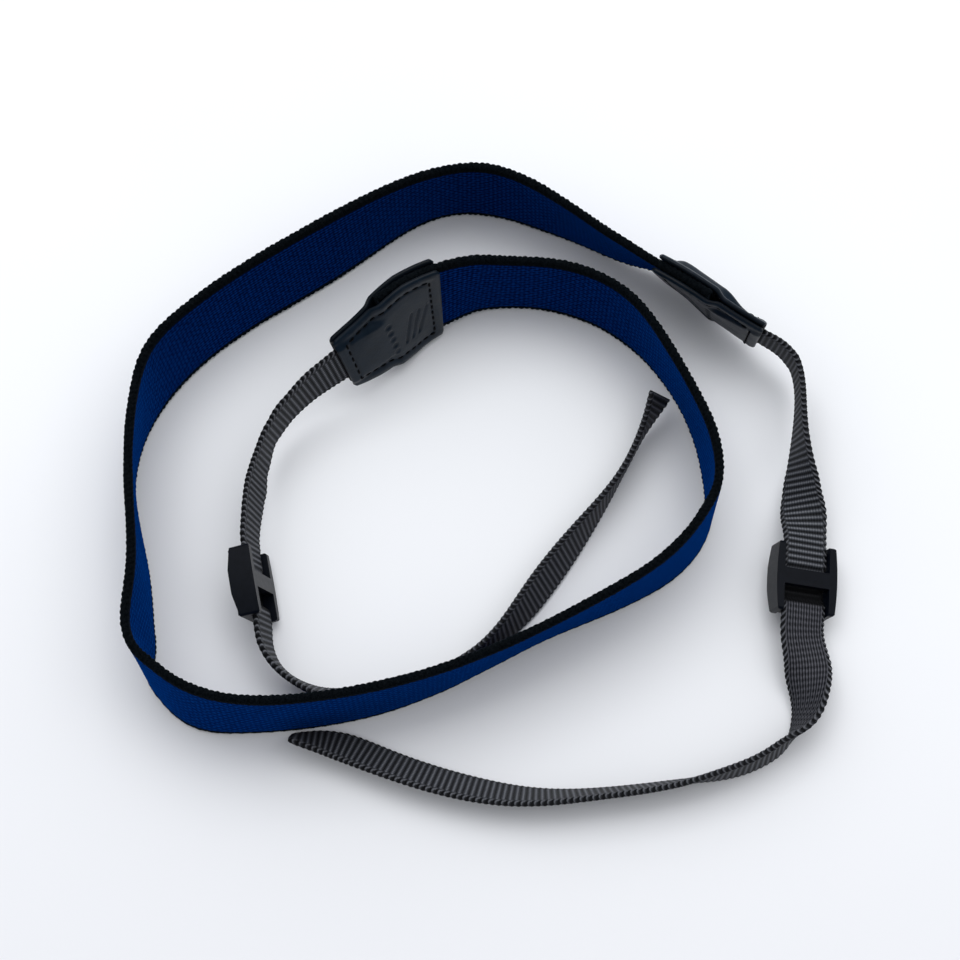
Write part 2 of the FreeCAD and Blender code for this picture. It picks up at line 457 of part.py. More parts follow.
# ---- neck band: between the patches its lower edge is flat on the table ----
def neck_webbing():
    half_w, half_t = BAND_W / 2, BAND_T / 2
    cuts = [S_R_WIDE - BAND_IN_PATCH, S_R_WIDE + BAND_LIFT_L,
            S_L_WIDE - BAND_LIFT_L, S_L_WIDE + BAND_IN_PATCH]
    faces = []
    for k in range(3):
        middle = k == 1
        stations = span(cuts[k], cuts[k + 1], 2.5 if middle else 1.25)
        # an end stretch touches the table where it meets the middle one, and stays above it
        meeting = len(stations) - 1 if k == 0 else 0

        def bottom(out):
            points = [at(s, -half_w, out) for s in stations]
            return [V(p.x, p.y, 0 if middle or i == meeting else max(0.0, p.z))
                    for i, p in enumerate(points)]

        corners = [[at(s, half_w, half_t) for s in stations],
                   [at(s, half_w, -half_t) for s in stations],
                   bottom(-half_t), bottom(half_t)]
        edges = [curve(points) for points in corners]
        for i in range(4):
            if middle and i == 2:
                # the underside on the table is one plane face
                inner, outer = corners[2], corners[3]
                outline = [curve(inner), Part.makeLine(inner[0], outer[0]),
                           curve(outer), Part.makeLine(inner[-1], outer[-1])]
                faces.append(Part.Face(Part.Wire(Part.sortEdges(outline)[0])))
            else:
                faces.append(Part.makeRuledSurface(edges[i], edges[(i + 1) % 4]))
        if not middle:
            tip = 0 if k == 0 else -1
            faces.append(quad(*[points[tip] for points in corners]))
    return close_solid(faces)


# ---- narrow webbing ----
def webbing(s0, s1, offset=lambda s: 0.0, pitch=2.0):
    """webbing between two arc positions; offset gives its middle along the outward normal"""
    def stretch(a, b):
        stations = span(a, b, pitch)
        low, high = [
            [[at(s, across, offset(s) + face) for across in (-WEB_W / 2, 0.0, WEB_W / 2)]
             for s in stations]
            for face in (-WEB_T / 2, WEB_T / 2)]
        return thick_sheet(low, high)

    solid = stretch(s0, s1)
    largest = 1.2 * WEB_W * abs(s1 - s0) * WEB_T
    if not solid.isValid() or solid.Volume > largest:
        # a long stretch that bends both ways may fail, so it is made as two and joined
        middle = (s0 + s1) / 2
        solid = stretch(s0, middle).fuse(stretch(middle, s1)).Solids[0]
    return solid


# ---- section of the patch ----
def half_height(along):
    x = max(0.0, min(1.0, (along - TAPER_START) / (PATCH_L - TAPER_START)))
    taper = TAPER_STRAIGHT * x + (1 - TAPER_STRAIGHT) * ease(x)
    height = lerp(PATCH_HALF_WIDE, PATCH_HALF_MOUTH, taper)
    height -= WIDE_CORNER * (1 - ramp(along, 0.0, WIDE_CORNER)) ** 2
    mouth = ramp(along, PATCH_L - MOUTH_CORNER_L, MOUTH_CORNER_L)
    return height - MOUTH_CORNER_DROP * mouth ** 2


def root_middle(along):
    """middle of the webbing's hidden end: over the band's outer face, then down to the centre"""
    return (BAND_T / 2 + FIT + WEB_T / 2) * (1 - ramp(along, *ROOT_DROP))


def cavity_half(along, across):
    """half thickness of the space between the leathers, without the bulge over the webbing"""
    open_half = lerp(BAND_T / 2 + FIT_LEATHER, WEB_T / 2 + FIT, ramp(along, *CAVITY_THIN))
    pinch = ramp(along, *PINCH_ALONG) * ramp(abs(across), *PINCH_ACROSS)
    return lerp(open_half, PINCH_GAP, pinch)


def front_inner(along, across):
    return -cavity_half(along, across)


def back_inner(along, across):
    edge = cavity_half(along, across)
    over_web = root_middle(along) + WEB_T / 2 + FIT
    fall = BULGE_FALL - BULGE_FALL_CUT * ramp(along, *BULGE_TIGHTEN)
    bulge = ramp(along, *BULGE_ALONG) * (1 - ramp(abs(across), BULGE_HALF, fall))
    return edge + max(0.0, over_web - edge) * bulge


# outer faces of the two leathers: the front one faces into the coil, the back one out of it
def front_outer(along, across):
    return front_inner(along, across) - LEATHER_T


def back_outer(along, across):
    return back_inner(along, across) + LEATHER_T


# ---- pieces of the patch; s_of turns a distance along the patch into an arc position ----
def leather(s_of, inner, outer):
    rows = ([0.0, 0.35, 0.8, 1.4] + span(2.4, PATCH_L - 2.2, 1.5)
            + [PATCH_L - 1.3, PATCH_L - 0.7, PATCH_L - 0.3, PATCH_L])
    over_web = [2.2, 4.3, 5.35]

    def columns(along):
        edge = over_web[-1]
        beyond = half_height(along) - edge
        half = over_web + [edge + share * beyond for share in (0.15, 0.32, 0.52, 0.76, 1.0)]
        return [-x for x in reversed(half)] + [0.0] + half

    def grid(face):
        return [[at(s_of(along), across, face(along, across)) for across in columns(along)]
                for along in rows]

    return thick_sheet(grid(inner), grid(outer), draped)


def patch_stitching(s_of):
    """stitches around the edge of both leather faces"""
    first, last = STITCH_INSET, PATCH_L - STITCH_INSET + STITCH_MOUTH_SHIFT
    top = [(along, half_height(along) - STITCH_INSET) for along in span(first, last, 0.25)]
    first_half, last_half = top[0][1], top[-1][1]
    loop = top + [(last, across) for across in span(last_half, -last_half, 0.25)[1:]]
    loop += [(along, -across) for along, across in reversed(top)][1:]
    loop += [(first, across) for across in span(-first_half, first_half, 0.25)[1:]]
    travel = [0.0]
    for a, b in zip(loop, loop[1:]):
        travel.append(travel[-1] + math.hypot(b[0] - a[0], b[1] - a[1]))
    total = travel[-1]
    count = int(total / STITCH_PITCH)

    def on_loop(distance):
        distance = distance % total
        i = next(k for k in range(1, len(loop)) if travel[k] >= distance)
        t = (distance - travel[i - 1]) / max(1e-9, travel[i] - travel[i - 1])
        return [lerp(a, b, t) for a, b in zip(loop[i - 1], loop[i])]

    threads = []
    for face, sign in ((front_outer, -1), (back_outer, 1)):
        for k in range(count):
            middle = (k + 0.5) * total / count
            ends = [on_loop(middle - STITCH_L / 2), on_loop(middle + STITCH_L / 2)]
            start, end = [at(s_of(along), across, face(along, across))
                          for along, across in ends]
            normal = frame(s_of((ends[0][0] + ends[1][0]) / 2))[3] * sign
            threads.append(thread(start, end, normal, STITCH_W, -STITCH_SUNK, STITCH_PROUD))
    return Part.makeCompound(threads)


def box_stitch(s_of):
    """hidden crossed box that joins the narrow webbing to the neck band"""
    near, far = BOX_STITCH
    half = BOX_STITCH_HALF
    corners = [(near, -half), (near, half), (far, half), (far, -half)]
    middle = (BOX_THREAD_LOW + BOX_THREAD_HIGH) / 2
    half_t = (BOX_THREAD_HIGH - BOX_THREAD_LOW) / 2
    bars = []
    for i, j in ((0, 1), (1, 2), (2, 3), (3, 0), (0, 2), (1, 3)):
        a, b = corners[i], corners[j]
        start, end = [at(s_of(along), across, middle) for along, across in (a, b)]
        normal = frame(s_of((a[0] + b[0]) / 2))[3]
        bars.append(thread(start, end, normal, BOX_THREAD_W, -half_t, half_t,
                           overrun=BOX_THREAD_W / 2))
    return bars[0].multiFuse(bars[1:])


def save_patch(label, wide_edge, side):
    """side is +1 where the patch runs with growing s, -1 where it runs against it"""
    def s_of(along):
        return wide_edge + side * along

    save(label + "_patch_front", leather(s_of, front_inner, front_outer))
    save(label + "_patch_back", leather(s_of, back_inner, back_outer))
    save(label + "_webbing_root", webbing(
        s_of(ROOT_START), s_of(PATCH_L - FLEX_GAP / 2),
        offset=lambda s: root_middle(abs(s - wide_edge)), pitch=1.0))
    save(label + "_patch_stitching", patch_stitching(s_of))
    save(label + "_box_stitch", box_stitch(s_of))


# ---- tri-glide buckle: x along the webbing, y across, z towards its face ----
def buckle_rail(side):
    half_l = BUCKLE_L / 2
    a = V(-half_l, side * BUCKLE_IN, BUCKLE_BOT)
    b = V(half_l, side * BUCKLE_IN, BUCKLE_BOT)
    c = V(half_l, side * BUCKLE_OUT_END, BUCKLE_BOT)
    d = V(-half_l, side * BUCKLE_OUT_END, BUCKLE_BOT)
    bulge = Part.Arc(c, V(0, side * BUCKLE_OUT, BUCKLE_BOT), d).toShape()
    outline = Part.Wire([Part.makeLine(a, b), Part.makeLine(b, c), bulge, Part.makeLine(d, a)])
    rail = Part.Face(outline).extrude(V(0, 0, BUCKLE_TOP - BUCKLE_BOT))

    # the underside rises towards both ends
    reach = 9.0     # the cutting wedge spans the whole buckle in y
    for end in (1, -1):
        x_start = end * half_l * UNDERSIDE_START
        x_end = end * (half_l + UNDERSIDE_OVER)
        wedge = quad(V(x_start, -reach, BUCKLE_BOT - 1), V(x_end, -reach, BUCKLE_BOT - 1),
                     V(x_end, -reach, BUCKLE_BOT + UNDERSIDE_RISE),
                     V(x_start, -reach, BUCKLE_BOT))
        rail = rail.cut(wedge.extrude(V(0, 2 * reach, 0)))

    # rounded end corners, on the face and down the outside
    corners = []
    for edge in rail.Edges:
        p, q = edge.Vertexes[0].Point, edge.Vertexes[-1].Point
        if not all(abs(abs(point.x) - half_l) < 0.01 for point in (p, q)):
            continue
        on_face = all(abs(point.z - BUCKLE_TOP) < 0.01 for point in (p, q))
        outside = all(abs(abs(point.y) - BUCKLE_OUT_END) < 0.01 for point in (p, q))
        if on_face and abs(p.y - q.y) > 0.5:
            corners.append(edge)
        if outside and abs(p.z - q.z) > 1.0:
            corners.append(edge)
    rounded = rail.makeFillet(BUCKLE_ROUND, corners)
    # a fillet that comes out broken leaves the rail square
    if rounded.isValid() and rounded.Volume > 0.8 * rail.Volume:
        return rounded
    return rail


def tri_glide():
    bar_w = 2 * (BUCKLE_IN + BAR_SINK)
    bar_gap = WEB_T / 2 + BAR_CLEAR
    centre = Part.makeBox(2 * BAR_MID_HALF, bar_w, BUCKLE_TOP - bar_gap,
                          V(-BAR_MID_HALF, -bar_w / 2, bar_gap))
    body = buckle_rail(1).fuse(buckle_rail(-1)).fuse(centre)
    for x in (BAR_END_IN, -BAR_END_OUT):
        body = body.fuse(Part.makeBox(BAR_END_OUT - BAR_END_IN, bar_w, BAR_END_T,
                                      V(x, -bar_w / 2, -bar_gap - BAR_END_T)))
    return body.removeSplitter()


def buckle_at(glide, s):
    """buckle on the webbing, its face towards the inside of the coil"""
    centre, forward, width, normal = frame(s)
    return place(glide, centre, forward, width.negative(), normal.negative())


# ---- build ----
os.makedirs("parts", exist_ok=True)

save("neck_webbing", neck_webbing())
save_patch("left", S_L_WIDE, 1)
save_patch("right", S_R_WIDE, -1)

half_gap = FLEX_GAP / 2
save("left_webbing_upper", webbing(S_L_MOUTH + half_gap, S_L_FLEX - half_gap))
save("left_webbing_tail", webbing(S_L_FLEX + half_gap, S_END))
save("right_webbing_upper", webbing(S_R_FLEX + half_gap, S_R_MOUTH - half_gap))
save("right_webbing_tail", webbing(0.0, S_R_FLEX - half_gap))

glide = tri_glide()
save("left_buckle", buckle_at(glide, S_L_BUCKLE))
save("right_buckle", buckle_at(glide, S_R_BUCKLE))
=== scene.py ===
"""A camera neck strap coiled on a table, standing on its edge for most of its length.

The table is z = 0. Lengths are millimetres until mesh() turns them into metres; the lights and
the camera are placed in metres. Points on the strap have three coordinates:
  s  distance along it, from the tip of the right tail (0) to the tip of the left tail
  v  across it, upwards where it stands on edge
  h  through it, positive to the right of the way s runs
At each end the wide band is sewn between a front (-h) and a back (+h) leather. Narrow webbing
leaves the leathers at their mouth, threads a buckle and ends in a loose tail.
"""
import math
from collections import namedtuple

import bpy
import numpy as np
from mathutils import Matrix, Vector


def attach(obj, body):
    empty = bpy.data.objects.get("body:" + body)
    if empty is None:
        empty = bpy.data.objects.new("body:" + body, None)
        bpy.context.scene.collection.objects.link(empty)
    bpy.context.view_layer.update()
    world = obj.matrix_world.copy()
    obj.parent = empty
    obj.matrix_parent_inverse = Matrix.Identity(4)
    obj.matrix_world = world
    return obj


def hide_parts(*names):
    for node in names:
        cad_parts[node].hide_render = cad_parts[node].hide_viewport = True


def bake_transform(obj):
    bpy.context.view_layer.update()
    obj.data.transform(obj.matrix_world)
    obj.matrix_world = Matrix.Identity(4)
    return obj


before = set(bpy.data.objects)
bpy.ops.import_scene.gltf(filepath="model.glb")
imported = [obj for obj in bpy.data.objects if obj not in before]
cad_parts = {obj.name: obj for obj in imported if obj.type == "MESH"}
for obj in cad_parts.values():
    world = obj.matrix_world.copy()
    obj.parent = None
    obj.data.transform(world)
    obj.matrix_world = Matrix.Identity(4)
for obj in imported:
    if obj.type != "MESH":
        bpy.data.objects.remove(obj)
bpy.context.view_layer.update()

MM = 0.001
BAND_WIDTH, BAND_THICK = 25.0, 1.9
BAND_ROW, BAND_COLUMN = 0.92, 1.04       # weave pitch across and along the band
WEB_WIDTH, WEB_THICK = 10.0, 1.25
WEB_RIB, WEB_YARN = 1.30, 0.62           # pitch of the ribs along s and of the yarns along v
PATCH_LENGTH, LEATHER_THICK = 27.2, 1.10
PATCH_HALF_WIDE, PATCH_HALF_MOUTH = 12.85, 8.1
BAND_IN_PATCH = 14.0                     # length of band between the leathers
ROOT_START = 5.6                         # where the webbing starts inside the patch
FIT, FIT_LEATHER, PINCH_GAP = 0.12, 0.14, 0.13
STITCH_LENGTH, STITCH_PITCH, STITCH_INSET = 1.5, 2.15, 2.7
STITCH_RADIUS, BOX_THREAD_RADIUS = 0.25, 0.16

# Centre line of the whole strap, one station every STEP of its length. Columns: x, y, z and
# lean, the tilt of v in degrees from upright towards +h. Commas separate the stations.
STEP = 1.99851111
ORIGIN = np.array([-0.603, -3.608, 0.0])
STATIONS = """
-39.875 -59.257 4.959 17.16, -37.895 -59.497 4.833 23.36, -35.918 -59.730 4.656 29.41,
-33.947 -59.987 4.448 35.00, -31.985 -60.311 4.245 39.63, -30.040 -60.746 4.106 42.90,
-28.122 -61.301 4.017 44.70, -26.234 -61.954 3.967 45.27, -24.367 -62.665 3.976 45.07,
-22.507 -63.397 4.006 44.51, -20.646 -64.123 4.040 43.86, -18.777 -64.833 4.071 43.27,
-16.901 -65.519 4.097 42.76, -15.015 -66.180 4.120 42.34, -13.120 -66.814 4.146 41.95,
-11.216 -67.421 4.170 41.58, -9.302 -67.997 4.189 41.18, -7.380 -68.543 4.208 40.71,
-5.449 -69.057 4.231 40.15, -3.509 -69.537 4.261 39.45, -1.561 -69.981 4.301 38.59,
0.396 -70.386 4.349 37.55, 2.361 -70.747 4.403 36.31, 4.334 -71.059 4.462 34.89,
6.315 -71.315 4.526 33.31, 8.302 -71.511 4.591 31.59, 10.295 -71.643 4.655 29.81,
12.292 -71.712 4.715 28.01, 14.290 -71.721 4.770 26.27, 16.287 -71.676 4.816 24.64,
18.283 -71.585 4.855 23.17, 20.277 -71.456 4.885 21.89, 22.269 -71.298 4.907 20.79,
24.260 -71.118 4.926 19.89, 26.248 -70.921 4.940 19.16, 28.236 -70.710 4.951 18.54,
30.221 -70.485 4.961 17.99, 32.205 -70.245 4.970 17.44, 34.187 -69.988 4.979 16.85,
36.166 -69.709 4.989 16.20, 38.141 -69.404 5.000 15.40, 40.112 -69.072 5.013 14.28,
42.078 -68.714 5.030 12.61, 44.040 -68.334 5.047 10.28, 45.999 -67.936 5.056 7.45,
47.953 -67.519 5.052 4.50, 49.901 -67.074 5.038 1.80, 51.838 -66.582 5.029 -0.42,
53.755 -66.018 5.038 -2.11, 55.641 -65.355 5.046 -3.30, 57.480 -64.573 5.050 -4.15,
59.261 -63.667 5.053 -4.89, 60.976 -62.641 5.053 -5.54, 62.620 -61.505 5.053 -5.14,
64.183 -60.262 5.128 -1.93, 65.637 -58.897 5.240 5.04, 66.933 -57.379 5.345 14.37,
68.003 -55.695 5.421 23.38, 68.795 -53.861 5.456 30.90, 69.294 -51.927 5.451 38.10,
69.536 -49.944 5.426 47.00, 69.594 -47.946 5.407 58.80, 69.555 -45.948 5.417 72.77,
69.468 -43.951 5.464 86.35, 69.220 -41.955 5.538 96.65, 68.913 -39.958 5.622 102.56,
68.668 -37.961 5.704 105.11, 68.559 -35.964 5.778 106.06, 68.637 -33.967 5.835 105.99,
68.799 -31.970 5.893 106.00, 68.962 -29.973 5.951 106.00, 69.125 -27.975 6.009 106.00,
69.287 -25.978 6.067 106.00, 69.450 -23.981 6.125 106.00, 69.613 -21.983 6.183 106.00,
69.776 -19.986 6.241 106.00, 69.938 -17.989 6.299 105.99, 70.099 -15.991 6.357 106.04,
70.211 -13.994 6.415 101.27, 70.242 -11.997 6.474 90.61, 70.213 -10.000 6.539 74.90,
70.140 -8.005 6.631 61.72, 70.089 -6.012 6.778 49.89, 70.109 -4.027 7.006 43.37,
70.115 -2.053 7.314 36.32, 70.095 -0.087 7.673 27.31, 70.069 1.880 8.028 20.77,
70.061 3.854 8.339 15.61, 70.088 5.836 8.591 11.35, 70.158 7.822 8.799 7.89,
70.260 9.809 8.990 5.16, 70.374 11.795 9.187 3.06, 70.473 13.779 9.404 1.45,
70.529 15.762 9.648 0.17, 70.505 17.742 9.918 -0.93, 70.353 19.713 10.208 -1.98,
70.006 21.657 10.511 -3.14, 69.383 23.531 10.813 -4.51, 68.257 25.135 11.081 -6.09,
66.936 26.566 11.324 -7.60, 65.382 27.757 11.532 -8.92, 63.684 28.777 11.712 -9.97,
61.951 29.756 11.878 -10.82, 60.251 30.775 12.036 -11.63, 58.598 31.846 12.189 -12.58,
56.979 32.947 12.339 -13.57, 55.422 34.122 12.477 -14.64, 53.896 35.331 12.605 -15.68,
52.390 36.569 12.724 -16.78, 50.895 37.830 12.831 -17.91, 49.399 39.108 12.927 -19.02,
47.891 40.399 13.010 -20.09, 46.360 41.682 13.079 -21.07, 44.778 42.902 13.126 -21.85,
43.167 44.081 13.162 -22.51, 41.510 45.194 13.183 -22.89, 39.806 46.235 13.190 -22.73,
38.068 47.221 13.184 -21.88, 36.316 48.180 13.144 -20.48, 34.565 49.135 13.051 -18.93,
32.817 50.111 12.914 -17.49, 31.077 51.126 12.724 -16.30, 29.337 52.165 12.559 -15.18,
27.596 53.221 12.449 -14.16, 25.855 54.285 12.404 -13.16, 24.116 55.345 12.409 -12.15,
22.380 56.387 12.443 -11.11, 20.645 57.401 12.475 -10.04, 18.907 58.387 12.496 -8.96,
17.162 59.361 12.510 -7.90, 15.405 60.314 12.523 -6.88, 13.632 61.238 12.531 -5.92,
11.839 62.120 12.535 -5.07, 10.021 62.950 12.535 -4.32, 8.172 63.711 12.535 -3.72,
6.290 64.385 12.534 -3.25, 4.373 64.954 12.533 -2.94, 2.423 65.394 12.533 -2.80,
0.444 65.684 12.534 -2.83, -1.552 65.808 12.534 -3.00, -3.552 65.759 12.534 -3.25,
-5.541 65.550 12.534 -3.45, -7.509 65.193 12.534 -3.53, -9.448 64.704 12.533 -3.43,
-11.352 64.094 12.532 -3.13, -13.216 63.372 12.528 -2.64, -15.039 62.552 12.522 -1.98,
-16.823 61.650 12.516 -1.19, -18.571 60.680 12.512 -0.32, -20.288 59.658 12.512 0.59,
-21.982 58.597 12.517 1.50, -23.660 57.511 12.524 2.36, -25.329 56.411 12.530 3.15,
-26.991 55.302 12.534 3.85, -28.652 54.190 12.536 4.48, -30.311 53.076 12.536 5.02,
-31.971 51.963 12.534 5.49, -33.634 50.854 12.532 5.89, -35.300 49.750 12.530 6.22,
-36.970 48.653 12.527 6.47, -38.644 47.562 12.526 6.63, -40.323 46.477 12.525 6.70,
-42.003 45.395 12.526 6.68, -43.683 44.312 12.526 6.60, -45.358 43.223 12.527 6.48,
-47.027 42.123 12.529 6.33, -48.686 41.009 12.530 6.18, -50.333 39.877 12.531 6.03,
-51.966 38.725 12.532 5.90, -53.583 37.550 12.532 5.78, -55.182 36.351 12.533 5.68,
-56.761 35.126 12.533 5.60, -58.318 33.873 12.533 5.56, -59.852 32.592 12.533 5.54,
-61.359 31.279 12.532 5.56, -62.838 29.935 12.531 5.63, -64.285 28.555 12.531 5.72,
-65.688 27.132 12.532 5.81, -67.034 25.654 12.534 5.81, -68.303 24.109 12.536 5.65,
-69.472 22.487 12.536 5.22, -70.524 20.786 12.534 4.49, -71.445 19.012 12.529 3.42,
-72.246 17.179 12.523 2.10, -72.942 15.305 12.520 0.66, -73.545 13.399 12.520 -0.81,
-74.065 11.469 12.525 -2.22, -74.508 9.520 12.530 -3.53, -74.876 7.555 12.532 -4.68,
-75.169 5.578 12.532 -5.65, -75.382 3.590 12.529 -6.43, -75.512 1.595 12.525 -6.99,
-75.553 -0.403 12.522 -7.31, -75.506 -2.402 12.520 -7.38, -75.374 -4.396 12.521 -7.21,
-75.169 -6.384 12.524 -6.83, -74.906 -8.366 12.528 -6.30, -74.598 -10.340 12.532 -5.66,
-74.259 -12.310 12.535 -4.96, -73.901 -14.276 12.536 -4.24, -73.537 -16.241 12.535 -3.52,
-73.182 -18.208 12.532 -2.84, -72.854 -20.180 12.526 -2.20, -72.565 -22.157 12.519 -1.59,
-72.322 -24.141 12.511 -0.99, -72.131 -26.131 12.507 -0.35, -71.994 -28.124 12.507 0.42,
-71.904 -30.121 12.515 1.33, -71.848 -32.119 12.528 2.32, -71.795 -34.117 12.541 3.38,
-71.697 -36.113 12.546 4.48, -71.552 -38.106 12.541 5.21, -71.393 -40.097 12.528 4.75,
-71.153 -42.081 12.513 3.08, -70.673 -44.038 12.501 0.84, -69.814 -45.838 12.502 -1.26,
-68.539 -47.372 12.520 -2.77, -67.107 -48.786 12.541 -3.90, -65.669 -50.171 12.552 -4.88,
-64.161 -51.480 12.549 -5.70, -62.544 -52.657 12.538 -6.26, -60.807 -53.651 12.531 -6.42,
-58.970 -54.443 12.530 -6.17, -57.061 -55.038 12.532 -5.56, -55.107 -55.466 12.534 -4.73,
-53.130 -55.758 12.534 -3.81, -51.139 -55.941 12.532 -2.90, -49.143 -56.036 12.527 -2.09,
-47.144 -56.065 12.521 -1.44, -45.146 -56.040 12.514 -0.94, -43.148 -55.966 12.509 -0.58,
-41.153 -55.849 12.505 -0.34, -39.161 -55.692 12.502 -0.16, -37.172 -55.497 12.501 -0.04,
-35.186 -55.269 12.502 0.08, -33.205 -55.008 12.503 0.20, -31.228 -54.716 12.505 0.35,
-29.256 -54.389 12.508 0.52, -27.291 -54.027 12.511 0.73, -25.332 -53.628 12.514 0.97,
-23.382 -53.192 12.518 1.25, -21.439 -52.720 12.521 1.56, -19.507 -52.212 12.525 1.90,
-17.583 -51.668 12.528 2.27, -15.671 -51.089 12.531 2.67, -13.769 -50.474 12.533 3.10,
-11.879 -49.824 12.535 3.55, -10.001 -49.140 12.536 4.03, -8.136 -48.423 12.536 4.52,
-6.283 -47.673 12.535 5.03, -4.443 -46.894 12.533 5.55, -2.614 -46.087 12.531 6.05,
-0.796 -45.258 12.527 6.52, 1.013 -44.409 12.523 6.97, 2.815 -43.543 12.519 7.37,
4.610 -42.664 12.514 7.72, 6.400 -41.776 12.510 8.01, 8.186 -40.880 12.507 8.23,
9.971 -39.981 12.505 8.36, 11.756 -39.082 12.505 8.41, 13.543 -38.187 12.506 8.35,
15.333 -37.299 12.508 8.18, 17.128 -36.420 12.512 7.89, 18.925 -35.546 12.517 7.49,
20.725 -34.676 12.522 7.00, 22.523 -33.805 12.527 6.46, 24.320 -32.929 12.531 5.87,
26.112 -32.045 12.535 5.27, 27.898 -31.149 12.536 4.66, 29.675 -30.233 12.536 4.06,
31.437 -29.290 12.535 3.46, 33.179 -28.311 12.531 2.84, 34.894 -27.285 12.525 2.18,
36.576 -26.205 12.519 1.49, 38.215 -25.061 12.513 0.76, 39.803 -23.846 12.511 0.03,
41.328 -22.554 12.513 -0.69, 42.780 -21.180 12.518 -1.35, 44.146 -19.720 12.523 -1.89,
45.412 -18.172 12.525 -2.26, 46.562 -16.538 12.523 -2.42, 47.602 -14.831 12.519 -2.30,
48.553 -13.068 12.516 -1.82, 49.353 -11.237 12.515 -1.22, 49.917 -9.319 12.516 -0.81,
50.243 -7.342 12.517 -0.61, 50.363 -5.345 12.515 -0.54, 50.314 -3.346 12.513 -0.59,
50.133 -1.355 12.514 -0.78, 49.854 0.625 12.518 -1.12, 49.498 2.592 12.523 -1.61,
49.056 4.541 12.528 -2.23, 48.519 6.466 12.531 -2.91, 47.904 8.369 12.533 -3.60,
47.230 10.251 12.534 -4.21, 46.505 12.113 12.535 -4.71, 45.734 13.957 12.535 -5.09,
44.916 15.781 12.535 -5.33, 44.052 17.583 12.535 -5.44, 43.142 19.363 12.535 -5.42,
42.187 21.118 12.535 -5.25, 41.188 22.849 12.536 -4.94, 40.144 24.554 12.535 -4.47,
39.052 26.228 12.534 -3.88, 37.904 27.864 12.532 -3.20, 36.691 29.453 12.528 -2.46,
35.405 30.984 12.522 -1.73, 34.038 32.442 12.516 -1.05, 32.583 33.814 12.510 -0.49,
31.044 35.091 12.506 -0.05, 29.425 36.264 12.504 0.27, 27.735 37.332 12.505 0.47,
25.981 38.293 12.506 0.57, 24.173 39.147 12.507 0.57, 22.318 39.893 12.507 0.50,
20.425 40.534 12.506 0.35, 18.498 41.069 12.506 0.16, 16.546 41.501 12.506 -0.08,
14.575 41.834 12.507 -0.32, 12.591 42.075 12.508 -0.53, 10.598 42.233 12.504 -0.67,
8.601 42.315 12.509 -0.70, 6.602 42.329 12.549 -0.57, 4.604 42.274 12.632 -0.28,
2.612 42.142 12.762 0.24, 0.627 41.906 12.929 1.11, -1.347 41.524 13.113 2.22,
-3.287 40.939 13.272 3.48, -5.206 40.263 13.407 4.74, -7.098 39.496 13.512 5.89,
-8.955 38.662 13.597 6.84, -10.760 37.766 13.668 7.70, -12.493 36.784 13.726 8.57,
-14.153 35.681 13.780 9.49, -15.764 34.503 13.831 10.56, -17.283 33.204 13.866 11.85,
-18.757 31.854 13.882 13.22, -20.201 30.473 13.876 14.61, -21.633 29.099 13.844 15.97,
-23.067 27.790 13.800 17.25, -24.520 26.542 13.783 18.40, -26.029 25.381 13.747 19.26,
-27.573 24.262 13.693 19.94, -29.150 23.173 13.598 19.89, -30.724 22.055 13.457 18.50,
-32.300 20.898 13.279 16.42, -33.881 19.736 13.070 14.50, -35.465 18.561 12.828 12.98,
-37.018 17.344 12.545 11.30, -38.483 16.018 12.230 9.46, -39.879 14.614 11.918 7.59,
-41.241 13.177 11.592 5.92, -42.589 11.735 11.246 6.08, -43.740 10.148 10.891 6.24,
-44.774 8.445 10.536 4.47, -45.854 6.674 10.191 3.93, -46.594 4.843 9.868 5.63,
-47.115 2.966 9.578 7.63, -47.614 1.056 9.340 9.41, -48.122 -0.870 9.176 10.88,
-48.356 -2.802 9.111 14.45, -48.575 -4.733 9.143 17.25, -48.868 -6.670 9.218 16.43,
-49.036 -8.625 9.306 15.91, -49.211 -10.605 9.375 15.13, -49.332 -12.602 9.397 13.87,
-49.459 -14.597 9.364 13.32, -49.683 -16.587 9.298 13.52, -49.694 -18.543 9.157 13.95,
-49.491 -20.500 9.017 14.00, -49.113 -22.456 8.876 14.00, -48.730 -24.412 8.734 14.00,
-48.346 -26.368 8.593 14.00, -47.963 -28.325 8.452 14.00, -47.579 -30.281 8.311 14.00,
-47.196 -32.237 8.170 14.00, -46.812 -34.193 8.028 14.00, -46.417 -36.147 7.883 13.86,
-45.929 -38.076 7.701 12.72, -45.345 -39.974 7.479 11.43, -44.576 -41.794 7.183 10.18,
-43.560 -43.472 6.804 9.48, -42.286 -44.948 6.371 9.67, -40.794 -46.204 5.935 10.67,
-39.143 -47.261 5.547 12.30, -37.380 -48.150 5.242 14.35, -35.531 -48.878 5.030 16.63,
-33.611 -49.422 4.936 18.89, -31.640 -49.747 4.905 20.88, -29.645 -49.848 4.870 22.46,
-27.650 -49.745 4.842 23.61, -25.670 -49.472 4.823 24.33, -23.711 -49.076 4.814 24.67,
-21.770 -48.601 4.817 24.64, -19.843 -48.073 4.829 24.27, -17.921 -47.524 4.844 23.57,
-16.007 -46.949 4.867 22.57, -14.101 -46.349 4.897 21.27, -12.204 -45.722 4.930 19.67,
-10.316 -45.067 4.964 17.79, -8.441 -44.377 4.996 15.63, -6.584 -43.639 5.025 13.19,
-4.752 -42.840 5.046 10.46, -2.957 -41.963 5.055 7.46, -1.211 -40.990 5.050 4.19,
0.472 -39.913 5.031 0.66, 2.080 -38.726 5.043 -3.06, 3.606 -37.436 5.056 -6.89,
5.050 -36.055 5.044 -10.68, 6.419 -34.599 5.013 -14.29, 7.720 -33.083 4.967 -17.55,
8.968 -31.523 4.916 -20.36, 10.177 -29.932 4.866 -22.59, 11.361 -28.323 4.826 -24.22,
